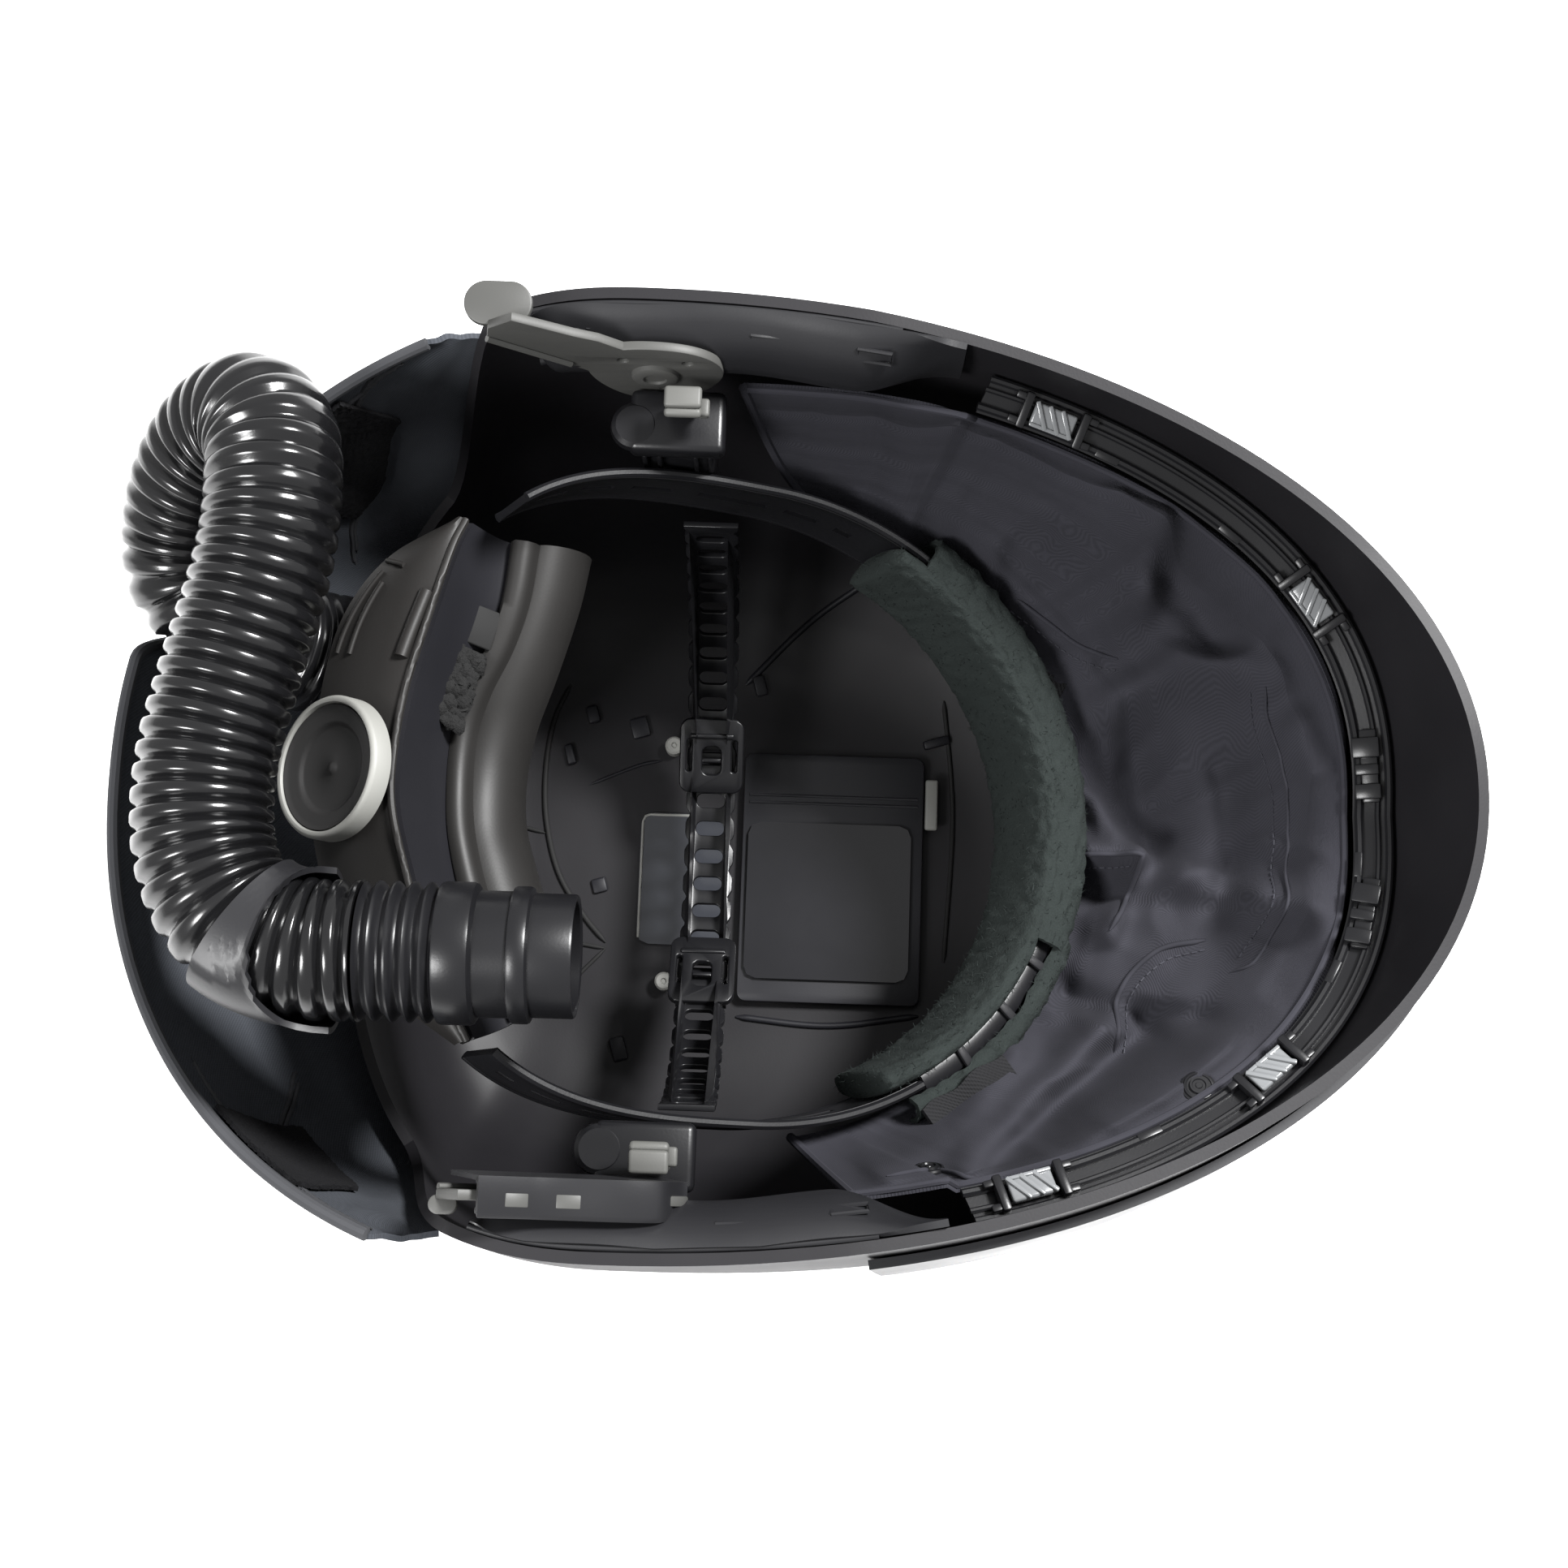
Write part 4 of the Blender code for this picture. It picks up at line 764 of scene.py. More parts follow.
def make_seal():
    rows = [[seal_point(s, i / 64) for s in spread(-1, 1, 241)] for i in range(65)]
    seal = wall("face_seal_cloth", rows, CLOTH)
    finished(seal, "seal_cloth", angle=80)
    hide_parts("face_seal")
    seams = []
    for name, radius, route in (
        ("seal_seam_upper", 0.7, ((67, 69), (79, 61), (88, 55), (97, 52))),
        ("seal_seam_front", 0.5, ((134, 38), (140, 15), (142, -2), (139, -25), (133, -38), (127, -41))),
        ("seal_seam_corner", 0.8, ((72, -5), (87, -5), (103, -6), (104, -8), (102, -17), (96, -28))),
        ("seal_seam_arc", 0.8, ((97, -63), (99, -46), (109, -34), (122, -31))),
        ("seal_seam_lower", 0.7, ((30, -101), (44, -99), (60, -103), (70, -104))),
    ):
        seams.append(laid_line(name, seal, route, radius, "seal_cloth", "seal_cloth"))
    for i, route in enumerate((
        ((66, 66), (78, 58), (87, 52), (96, 49)), ((131, 37), (137, 15), (139, -2), (136, -24), (130, -36)),
        ((76, 32), (76, 16), (77, -3)), ((74, 50), (75, 40), (76, 32)),
        ((100, -63), (102, -47), (111, -37), (121, -34)),
        ((72, -8), (86, -8), (101, -9)),
    )):
        seams.append(laid_line(f"seal_stitching_{i + 1}", seal, route, 0, "thread_dark", "seal_cloth", stitches=True))
    seams = [s for s in seams if s]
    edge = [seal_point(-1 + 2 * i / 240, 0.012) + Vector((0, 0, 0.3)) for i in range(241)]
    piping = tube("seal_piping", edge, [1.0] * len(edge), 8)
    seams.append(finished(piping, "seal_cloth"))
    for name, end in (("seal_piping_right_end", 1), ("seal_piping_left_end", -1)):
        edge = [seal_point(end, i / 40) + Vector((0, 0, 0.2)) for i in range(41)]
        seams.append(finished(tube(name, edge, [1.3] * len(edge), 8), "seal_cloth"))
    for name, x, y in (("seal_snap_1", 112, -75), ("seal_snap_2", 41.5, -99)):
        place, facing = drop_on(seal, x, y, 0.1)
        if place is None:
            continue
        at = frame_at(place, facing.orthogonal(), facing)
        profile = [(0, 1.4), (0.8, 1.4), (1.0, 1.1), (1.7, 1.1), (1.9, 1.5), (2.4, 1.5), (2.6, 0.8), (3.2, 0.8),
                   (3.4, 1.1), (3.9, 1.0),
                   (4.1, 0.5), (4.6, 0.3), (4.7, -0.4), (0, -0.4)]
        snap = finished(turned(name + "_ringed", profile, at, 40), "band_plastic")
        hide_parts(name)
        seams.append(snap)
    for name, start, end in (("webbing_end_1", (62, 56), (82, 44)), ("webbing_end_2", (44, -86), (66, -69))):
        line = [(start[0] + (end[0] - start[0]) * t, start[1] + (end[1] - start[1]) * t) for t in spread(0, 1, 14)]
        rows = [[], []]
        across = Vector((-(end[1] - start[1]), end[0] - start[0], 0)).normalized() * 3.6
        for i, (x, y) in enumerate(line):
            place, _ = drop_on(seal, x, y, 1.0 + 0.8 * math.sin(i * 0.9))
            rows[0].append(place - across)
            rows[1].append(place + across + Vector((0, 0, 1.2)))
        strip = finished(wall(name + "_woven", rows, 1.3), "webbing", angle=60)
        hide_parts(name)
        seams.append(strip)


COVER_REACH, COVER_HALF, COVER_RIGHT_IN, COVER_REAR_TOP, COVER_SIDE_TOP = 138.5, 129, 7, 150, 172
COVER_FROM, COVER_OVERLAP, COVER_DIP, COVER_BULGE = 113, 16, 34, 7


def cover_point(angle, share, inwards=0.0):
    turn = abs(angle - 180)
    pressed = ease((angle - 127) / 8) * ease((168 - angle) / 8)
    base = wall_point(angle, rim(angle) - COVER_OVERLAP, -2 * GAP)
    a = math.radians(angle)
    side = min(1, turn / (180 - COVER_FROM)) ** 2
    top_z = COVER_REAR_TOP + (COVER_SIDE_TOP - COVER_REAR_TOP) * side
    half = COVER_HALF - (COVER_RIGHT_IN if a < math.pi else 0)
    x = SHELL_MID_X + (COVER_REACH - inwards) * signed_power(math.cos(a), 2 / 2.2)
    y = (half - inwards) * signed_power(math.sin(a), 2 / 2.2)
    top = Vector((x, y, top_z - COVER_DIP * pressed))
    bulge = math.sin(math.pi * share) * COVER_BULGE * (1 - side)
    out = Vector((math.cos(a), math.sin(a), 0)) * (bulge - inwards)
    soft = waves(angle * 0.09, share * 2.2, 3) * 3.2 + waves(angle * 0.3, share * 5, 7) * 0.8
    out += Vector((math.cos(a), math.sin(a), 0.5)) * soft * math.sin(math.pi * min(1, share * 1.1)) * 0.8
    return base.lerp(top, share) + out


def cover_line(angle_from, angle_to, share_from, share_to, count, inwards):
    return [cover_point(a, s, inwards) for a, s in zip(spread(angle_from, angle_to, count),
                                                       spread(share_from, share_to, count))]


def make_cover():
    angles = spread(COVER_FROM, 360 - COVER_FROM, 201)
    rows = [[cover_point(a, share) for a in angles] for share in spread(0, 1, 41)]
    cover = wall("neck_cover_cloth", rows, CLOTH, side=1)
    finished(cover, "cover_cloth", angle=80)
    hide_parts("neck_cover")
    rim_line = [cover_point(a, 1.0) + Vector((0, 0, 0.4)) for a in angles]
    piping = tube("neck_cover_piping", rim_line, [1.7] * len(rim_line), 10)
    finished(piping, "cover_piping", "cover_cloth")
    seams = []
    for low, high, share_low, share_high in ((120, 146, 0.94, 0.30), (121.5, 148, 0.92, 0.27),
                                             (214, 238, 0.35, 0.93), (212, 236.5, 0.33, 0.91),
                                              (118, 150, 0.86, 0.86), (214, 246, 0.86, 0.86)):
        line = cover_line(low, high, share_low, share_high, 60, 0.35)
        seams.append(stitch_row("stitches", line, "cover_piping", 2.6, 1.4))
        seams.append(tube("seam", cover_line(low, high, share_low, share_high, 60, 0.0), [0.8] * 60, 6))
    finished(joined("neck_cover_seams", seams), "cover_piping", "cover_cloth", 60)
    for name, low, high in (("hook_patch_right", 126, 140), ("hook_patch_left", 222, 236)):
        rows = [[cover_point(a, share, 0.5 + 0.25 * waves(a * 3, share * 60, 0)) for a in spread(low, high, 60)]
                for share in spread(0.48, 0.95, 50)]
        patch = finished(wall(name + "_pile", rows, 1.2, side=-1), "hook_loop", angle=80)
        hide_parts(name)


# Head harness

def make_headband():
    count = 241
    angles = spread(-BAND_END, BAND_END, count)
    heights = [-11, -10.3, -6, -4.5, -1.5, 0, 1.5, 4.5, 6, 10.3, 11]
    rows = [[ring_point(a, h, 0.25 if abs(h) < 11 else 0) for a in angles] for h in heights]
    holes = set()
    for j in range(4, count - 6):
        angle = abs(angles[j])
        if 72 < angle < 126 and (j // 3) % 3 != 0:
            holes.add((4, j))
            holes.add((5, j))
    band = wall("headband_fine", rows, BAND_THICK, holes=holes)
    top = [ring_point(a, 11.2, -0.6) for a in angles]
    low = [ring_point(a, -11.2, -0.6) for a in angles]
    band = joined("headband_fine", [band, tube("edge", top, [1.35] * count, 8), tube("edge", low, [1.35] * count, 8)])
    finished(band, "band_plastic")
    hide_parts("headband")


SWEAT_HIGH, SWEAT_THICK, SWEAT_END, SWEAT_SIDES = 31.5, 7.4, 66, 56


def sweat_row(angle, turn, high, thick):
    """A point of the rounded section of the sweatband."""
    c, s = math.cos(turn), math.sin(turn)
    h = signed_power(s, 0.62) * high / 2
    out = -BAND_THICK - GAP - thick / 2 + signed_power(c, 0.8) * thick / 2
    bump = waves(angle * 0.5, turn * 3, 0) * 0.7 + waves(angle * 1.7, turn * 8, 5) * 0.35
    return ring_point(angle, h + bump * s, out + bump * c if c < 0 else out)


def make_sweatband():
    angles = spread(-SWEAT_END, SWEAT_END, 261)
    sides = SWEAT_SIDES
    turns = [2 * math.pi * i / sides for i in range(sides)]
    points, faces = [], []
    for i, a in enumerate(angles):
        end = min(1, (SWEAT_END - abs(a)) / 1.5 + 0.55)
        for t in turns:
            points.append(sweat_row(a, t, SWEAT_HIGH * end, SWEAT_THICK * end))
    for i in range(len(angles) - 1):
        for j in range(sides):
            k = (j + 1) % sides
            faces.append((i * sides + j, (i + 1) * sides + j, (i + 1) * sides + k, i * sides + k))
    faces.append(tuple(range(sides)))
    faces.append(tuple(reversed(range((len(angles) - 1) * sides, len(angles) * sides))))
    body = from_faces("sweatband_fleece", points, faces)
    wraps = []
    for low, high, section in (
        (-22, 60, ((9, -7.5), (13.5, -5.5), (15.2, -1.5), (14.6, 3), (11, 5.4), (4, 6.0), (-3, 5.2))),
        (-62, -20, ((13.2, 2.2), (14.6, 3.6), (13.4, 5.8), (8, 7.4), (2, 7.2), (-4, 5.6))),
    ):
        line, _ = smooth_line([Vector((o, h, 0)) for h, o in section], 0.8)
        rows = []
        for i, q in enumerate(line):
            rows.append([ring_point(a, q.y + 0.9 * waves(a * 0.35, i * 0.5, 2), q.x + 0.7 * waves(a * 0.5, i * 0.5, 7))
                         for a in spread(low, high, 200)])
        wraps.append(wall("wrap", rows, 1.5, side=-1))
    body = HAIRS.grown(joined("sweatband_fleece", [body] + wraps), "sweat_fleece", {"Density": 110000.0})
    finished(body, "sweat_fleece", angle=60)
    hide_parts("sweatband")


# Seal rail, clips and latches

CLIP_ANGLES, LATCH_ANGLES = (60, 27, -35, -61), (5, -11)


def clip_frame(angle, lift):
    low, high = rail_point(angle - 1, RAIL_WIDTH / 2), rail_point(angle + 1, RAIL_WIDTH / 2)
    inwards = rail_point(angle, RAIL_WIDTH) - rail_point(angle, 0)
    up = inwards.cross(high - low)
    up = up if up.z > 0 else -up
    return frame_at((low + high) / 2 + up.normalized() * lift, high - low, up)


def make_rail():
    angles = spread(-RAIL_ANGLE, RAIL_ANGLE, 161)
    rows = [[rail_point(a, share * RAIL_WIDTH) for a in angles] for share in (0, 0.25, 0.5, 0.75, 1)]
    parts = [wall("strip", rows, 1.6, side=1)]
    for inwards, radius in ((0.9, 1.1), (3.6, 0.8), (8.2, 1.2)):
        parts.append(tube("bead", [rail_point(a, inwards, 2.3) for a in angles], [radius] * len(angles), 8))
    for i, angle in enumerate(spread(-64, 64, 27)):
        if min(abs(angle - a) for a in CLIP_ANGLES + LATCH_ANGLES) > 5 and i % 3 == 0:
            at = clip_frame(angle, 2.6)
            parts.append(block("notch", (7, 2.2, 1.6), at @ Matrix.Translation((0, 3.4, 0)), 0.4, 2))
    rail = joined("seal_rail_beaded", parts)
    finished(rail, "band_plastic")
    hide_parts("seal_rail")
    for i, angle in enumerate(CLIP_ANGLES):
        at = clip_frame(angle, 4.4)
        body = [block("body", (12, 6.4, 2.0), at, 0.7)]
        for shift in (-3.6, 0, 3.6):
            body.append(block("rib", (1.3, 8.2, 1.2),
                              at @ Matrix.Translation((shift, 0, 1.2)) @ Matrix.Rotation(0.6, 4, "Z"), 0.4, 2))
        body.append(block("edge", (12, 1.1, 1.4), at @ Matrix.Translation((0, 3.0, 0.9)), 0.4, 2))
        clip = finished(joined(f"rail_clip_{i + 1}_ribbed", body), "clip_plastic")
        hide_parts(f"rail_clip_{i + 1}")
        ends = []
        for side in (-1, 1):
            ends.append(block("end", (2.4, 10, 3.2), at @ Matrix.Translation((side * 8.2, 0, 0)), 0.6, 2))
            ends.append(block("foot", (4.6, 2.0, 2.0), at @ Matrix.Translation((side * 9.6, 3.4, -0.2)), 0.5, 2))
            ends.append(block("foot", (4.6, 2.0, 2.0), at @ Matrix.Translation((side * 9.6, -3.4, -0.2)), 0.5, 2))
        finished(joined(f"rail_clip_{i + 1}_bracket", ends), "band_plastic")
    for i, angle in enumerate(LATCH_ANGLES):
        at = clip_frame(angle, 3.2)
        parts = [block("bar", (20, 4.6, 1.6), at, 0.5, 2)]
        for shift, size in ((-7, (4.2, 7, 2.6)), (-1, (3.0, 6.4, 2.2)), (5, (5.6, 7.4, 2.8))):
            parts.append(block("step", size, at @ Matrix.Translation((shift, 0.6, 0.9)), 0.6, 2))
        latch = finished(joined(f"chin_latch_{i + 1}_stepped", parts), "band_plastic")
        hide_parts(f"chin_latch_{i + 1}")


# Side frames: the moulded flange inside the rim

def angle_at(x):
    reach = FRONT_REACH if x > SHELL_MID_X else REAR_REACH
    return math.degrees(math.acos(signed_power((x - SHELL_MID_X) / reach, 1.03 if x > SHELL_MID_X else 1.25)))


def side_point(side, x, drop, deep):
    z = RIM_SIDE - drop
    place = wall_point(side * angle_at(x), z, SHELL_WALL + 0.5 + deep)
    return Vector((x, place.y, z))


def make_side_frame(side):
    label = "right" if side > 0 else "left"
    xs = spread(-72, 44, 117)
    outline_rows = ((1.0, 0.3), (1.6, 2.2), (3.0, 4.0), (6.0, 7.2), (10.0, 10.0), (14.0, 11.8), (18.0, 11.9),
                    (22.0, 10.4), (25.5, 8.0))
    rows = []
    for drop, deep in outline_rows:
        row = []
        for x in xs:
            taper = ease((x + 73) / 10) * ease((45 - x) / 30)
            wave = 0.7 * math.sin(x * 0.11)
            row.append(side_point(side, x, drop, max(0.2, (deep + wave) * (0.10 + 0.90 * taper))))
        rows.append(row)
    if side < 0:
        rows = [list(reversed(row)) for row in rows]
    base = wall(f"side_frame_{label}_moulded", rows, 1.8)
    parts = [base]
    for start, end, drop, deep, radius in ((-62, -28, 2.4, 3.4, 0.8), (-62, -28, 6.4, 6.9, 0.8),
                                           (-70, 24, 25.6, 6.2, 1.4), (-72, 27, 0.9, 0.7, 0.9),
                                           (-24, 22, 5.0, 5.8, 0.7), (-20, 18, 15.5, 9.9, 0.6)):
        line = [side_point(side, x, drop, deep) for x in spread(start, end, 60)]
        parts.append(tube("lip", line, [radius] * 60, 8))
    for x, y, wide, high in ((-7, 6.5, 11, 5), (20, 4.5, 9, 3)):
        corners = [side_point(side, x + a * wide / 2, y + b * high / 2, 8.2 + 0.35 * b * high) for a,
                   b in ((-1, -1), (1, -1), (1, 1), (-1, 1), (-1, -1))]
        parts.append(tube("window", corners, [0.6] * 5, 6))
    for x, drop in ((-64, 9), (-61, 9), (-58, 9), (-55, 9)):
        line = [side_point(side, x, d, 5.5 + 0.25 * d) for d in spread(3, 16, 12)]
        parts.append(tube("rib", line, [0.8] * 12, 8))
    item = joined(f"side_frame_{label}_moulded", parts)
    finished(item, "side_plastic", "frame_plastic", 50)
    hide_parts(f"side_frame_{label}")
    details = []
    for x in (-57, -34):
        place = side_point(side, x, 4.6, 5.6)
        details.append(block("post", (5, 2.2, 2.4), frame_at(place, (1, 0, 0), (0, -side * 0.6, 0.8)), 0.5, 2))
    finished(joined(f"side_posts_{label}", details), "lever_plastic")
    # near-black blocks on the frame's slots: painted shade of the openings
    dark = []
    for x, long, drop, deep, high in ((-45, 28, 4.6, 5.3, 1.4), (-5, 10, 8.6, 8.0, 4.0), (14, 7, 6.0, 5.4, 2.4)):
        place = side_point(side, x, drop, deep + 0.4)
        dark.append(block("slot", (long, high, 0.8), frame_at(place, (1, 0, 0), (0, -side * 0.75, 0.66)), 0.3, 2))
    finished(joined(f"side_slots_{label}", dark), "hollow_black", "frame_plastic")


# Pivots

def flat_plate(name, points, thick, matrix, holes=(), bevel=0.0):
    """A flat plate from a ring of points, with holes, extruded to both sides of the matrix's plane."""
    curve = bpy.data.curves.new(name, "CURVE")
    curve.dimensions = "2D"
    curve.fill_mode = "BOTH"
    curve.extrude = thick / 2 - bevel
    curve.bevel_depth = bevel
    curve.offset = -bevel
    curve.bevel_resolution = 1
    for ring in (points, *holes):
        spline = curve.splines.new("POLY")
        spline.points.add(len(ring) - 1)
        for point, (x, y) in zip(spline.points, ring):
            point.co = (x, y, 0, 1)
        spline.use_cyclic_u = True
    item = bpy.data.objects.new(name, curve)
    bpy.context.scene.collection.objects.link(item)
    bpy.context.view_layer.update()
    mesh = bpy.data.meshes.new_from_object(item.evaluated_get(bpy.context.evaluated_depsgraph_get()))
    bpy.data.objects.remove(item, do_unlink=True)
    work = bmesh.new()
    work.from_mesh(mesh)
    bmesh.ops.remove_doubles(work, verts=work.verts, dist=0.002)
    bmesh.ops.transform(work, matrix=Matrix.Scale(MM, 4) @ matrix, verts=work.verts)
    work.to_mesh(mesh)
    work.free()
    return linked(name, mesh)


def circle(x, y, radius, steps=24):
    return [(x + radius * math.cos(2 * math.pi * i / steps),
             y + radius * math.sin(2 * math.pi * i / steps)) for i in range(steps)]


def rounded(half_x, half_y, radius, steps=6, x=0.0, y=0.0):
    points = []
    for quarter, (sx, sy) in enumerate(((1, 1), (-1, 1), (-1, -1), (1, -1))):
        for i in range(steps + 1):
            a = math.radians(90 * (quarter + i / steps))
            points.append((x + sx * (half_x - radius) + radius * math.cos(a),
                           y + sy * (half_y - radius) + radius * math.sin(a)))
    return points


PIVOT_X, PIVOT_Y, PIVOT_Z, LEVER_END_X, LEVER_END_Z, LEVER_LEFT_DROP = -38, 108.9, 170, -78, 197, 5
LEFT_WING_SHARE = 0.4


def make_pivot(side):
    label = "right" if side > 0 else "left"
    drop = 0 if side > 0 else LEVER_LEFT_DROP
    at = Matrix.Translation((0, side * PIVOT_Y, 0)) @ Matrix.Rotation(math.pi / 2, 4, "X")
    end = Vector((LEVER_END_X, LEVER_END_Z - drop))
    centre = Vector((PIVOT_X, PIVOT_Z))
    run = end - centre
    start = math.atan2(run.y, run.x)
    along = run.normalized()
    over = Vector((-along.y, along.x))
    points = []
    for i in range(49):
        a = start + 0.55 + (2 * math.pi - 1.1) * i / 48
        lobe = 18 + 0.9 * math.cos(3 * (a - start))
        points.append((PIVOT_X + lobe * math.cos(a), PIVOT_Z + lobe * math.sin(a)))
    for share, half in ((0.48, 10.4), (0.62, 9.4), (0.82, 9.0), (0.98, 8.6)):
        points.append(tuple(centre + run * share - over * half))
    points.append(tuple(centre + run * 1.03))
    for share, half in ((0.98, 5.2), (0.82, 6.4), (0.62, 7.4), (0.48, 8.6)):
        points.append(tuple(centre + run * share + over * half))
    holes = [circle(PIVOT_X + dx, PIVOT_Z + dz, 1.5, 16) for dx, dz in ((-8, 9), (9, 8), (2, -10))]
    parts = [flat_plate("plate", points, 2.6, at, holes, 0.5)]
    inwards = -side
    hub = frame_at((PIVOT_X, side * PIVOT_Y + inwards * 1.2, PIVOT_Z), (1, 0, 0), (0, inwards, 0))
    parts.append(turned("boss", ((0, 1.0), (3.0, 1.0), (3.2, 1.7), (5.6, 1.7), (6.2, 1.2), (6.4, 0), (0, 0)), hub, 40))
    lip = [centre + run * t + over * (8.2 - 3.2 * t) for t in spread(0.45, 0.98, 14)]
    parts.append(tube("lip", [Vector((p.x, side * PIVOT_Y + inwards * 1.6, p.y)) for p in lip], [1.0] * 14, 8))
    grow = 1 if side > 0 else LEFT_WING_SHARE
    wing = rounded(8.8 * grow, 5.8 * grow, 5.7 * grow, 10)
    wing_at = Matrix.Translation((end.x + 1 * grow, side * (PIVOT_Y + 6.2 * grow),
                                  end.y - 0.6)) @ Matrix.Rotation(side * 0.12, 4, "X")
    parts.append(flat_plate("wing", wing, 2.4, wing_at, (), 0.6))
    plate = finished(joined(f"pivot_plate_{label}_bossed", parts), "lever_plastic", angle=40)
    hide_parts(f"pivot_plate_{label}")
    if side < 0:
        rows = [[], [], [], []]
        for t in spread(-0.32, 0.9, 50):
            p = centre + run * t
            top = p - over * (20 - 8.8 * ease(t / 0.6)) * (0.45 + 0.55 * ease((t + 0.32) / 0.3))
            low = p + over * 7
            rows[0].append(Vector((top.x, -PIVOT_Y - 4.5, top.y - 1)))
            rows[1].append(Vector((top.x, -PIVOT_Y - 3.5, top.y)))
            rows[2].append(Vector((top.x, -PIVOT_Y + 3.5, top.y)))
            rows[3].append(Vector((low.x, -PIVOT_Y + 4.6, low.y)))
        parts = [wall("side_ridge_left", rows, 1.2, side=-1)]
        for k in (1, 2):
            parts.append(tube("edge", rows[k], [0.8] * 50, 8))
        finished(joined("side_ridge_left", parts), "side_plastic", "frame_plastic", 50)
        # the ridge's slot is a row of near-black blocks: painted shade in the opening
        slot, posts = [], []
        for i in range(26, 43):
            a, b = rows[1][i], rows[1][i + 1]
            slot.append(block("slot", ((b - a).length + 0.2, 2.6, 0.9),
                              frame_at((a + b) / 2 + Vector((0, 2.6, 0.5)), b - a, (0, 0, 1)), 0.0))
        for i in (29, 40):
            post_at = frame_at(rows[1][i] + Vector((0, 2.6, 0.9)), rows[1][i + 1] - rows[1][i], (0, 0, 1))
            posts.append(block("post", (6, 3.4, 1.2), post_at, 0.4, 2))
        finished(joined("side_ridge_slot", slot), "hollow_black", "frame_plastic")
        finished(joined("side_ridge_posts", posts), "lever_plastic")
    bracket = []
    y = side * 98.1
    bracket.append(block("block", (20, 15, 26), Matrix.Translation((-32, y, 142)), 3.0))
    bracket.append(block("collar", (26, 17.6, 7), Matrix.Translation((-32, y, 158)), 2.0))
    bracket.append(turned("knob", ((0, 3.2), (5.2, 3.2), (6.4, 2.2), (6.8, 0), (0, 0)),
                          Matrix.Translation((-43.5, y - side * 1.5, 158.5)), 36))
    for x in (-41, -37, -27, -23):
        bracket.append(block("rib", (1.4, 17.6, 12), Matrix.Translation((x, y, 150)), 0.5, 2))
    bracket = finished(joined(f"pivot_bracket_{label}_stepped", bracket), "band_plastic")
    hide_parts(f"pivot_bracket_{label}")
    tab = [block("tab", (10, 2.6, 12), Matrix.Translation((-30, y, 169.5)) @ Matrix.Rotation(side * 0.5, 4, "X"), 1.1),
           block("fold", (10, 6, 2.4), Matrix.Translation((-30, y + side * 1.5, 175)), 1.0),
           block("grip", (3.0, 5, 3.0), Matrix.Translation((-24.5, y, 171)), 0.8)]
    tab = finished(joined(f"lock_tab_{label}_folded", tab), "tab_plastic", "pale_plastic")
    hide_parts(f"lock_tab_{label}")


# Crown straps

def strap_point(turn, drop=0.0, x=0.0):
    a = math.pi * turn
    z = 121 - (121 - 31 + drop) * math.sin(a) ** 0.9
    return Vector((-24 + x, (85 + drop) * math.cos(a), z))


def bent_plate(name, low, high, drop, points, holes, thick, look):
    """A flat ladder, drawn with its length along x, bent along the crown strap's line."""
    item = flat_plate(name, points, thick, Matrix.Identity(4), holes, 0.25)
    line = [strap_point(t, drop) for t in spread(low, high, 200)]
    run = np.concatenate(([0], np.cumsum([(q - p).length for p, q in zip(line, line[1:])])))
    for v in item.data.vertices:
        x, y, z = v.co / MM
        s = min(run[-1] - 1e-3, max(0, x))
        k = min(len(line) - 2, int(np.searchsorted(run, s, side="right")) - 1)
        along = (line[k + 1] - line[k]).normalized()
        up = Vector((1, 0, 0)).cross(along)
        up = up if up.z > 0 else -up
        here = line[k].lerp(line[k + 1], (s - run[k]) / (run[k + 1] - run[k])) + along * (x - s)
        v.co = (here + Vector((1, 0, 0)) * y + up.normalized() * (z + thick / 2)) * MM
    return finished(item, look, "band_plastic", 50)


def strap_length(low, high, drop):
    line = [strap_point(t, drop) for t in spread(low, high, 200)]
    return sum((q - p).length for p, q in zip(line, line[1:]))


STRAP_PITCH, STRAP_HALF, STRAP_WAIST = 9.1, 7.9, 1.3


def make_straps():
    for name, low, high, drop in (("crown_strap_right", 0.02, 0.42, 0), ("crown_strap_middle", 0.34, 0.70, 2.7),
                                  ("crown_strap_left", 0.62, 0.98, 0)):
        long = strap_length(low, high, drop)
        count = int((long - 5) / STRAP_PITCH)
        first = (long - (count - 1) * STRAP_PITCH) / 2
        edge, back = [], []
        for i in range(int(long / 1.1) + 1):
            x = min(long, i * 1.1)
            place = (x - first) / STRAP_PITCH
            half = STRAP_HALF - STRAP_WAIST * ease((abs(place - round(place)) - 0.2) / 0.3)
            edge.append((x, half))
            back.append((x, -half))
        holes = [rounded(2.3, 4.5, 2.1, 6, first + i * STRAP_PITCH) for i in range(count)]
        strap = bent_plate(name + "_laddered", low, high, drop, edge + back[::-1], holes, 1.8, "band_plastic")
        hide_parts(name)
    for name, turn in (("crown_buckle_right", 0.38), ("crown_buckle_left", 0.66)):
        along = strap_point(turn + 0.01) - strap_point(turn - 0.01)
        up = Vector((1, 0, 0)).cross(along)
        up = up if up.z > 0 else -up
        at = frame_at(strap_point(turn) + up.normalized() * 3.6, along, up)
        slots = [rounded(4.6, 3.0, 2.2, 6, 1.5)] + [rounded(5.2, 0.9, 0.8, 3, 0, s * 7.2) for s in (-1, 1)]
        parts = [flat_plate("plate", rounded(12, 10.2, 3.6, 8), 2.6, at, slots, 0.5)]
        parts.append(block("bar", (1.6, 14, 1.4), at @ Matrix.Translation((-6.5, 0, 1.4)), 0.5, 2))
        parts.append(block("bar", (1.4, 6, 1.2), at @ Matrix.Translation((1.5, 0, 0.4)), 0.4, 2))
        buckle = finished(joined(name + "_slotted", parts), "band_plastic", angle=45)
        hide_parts(name)


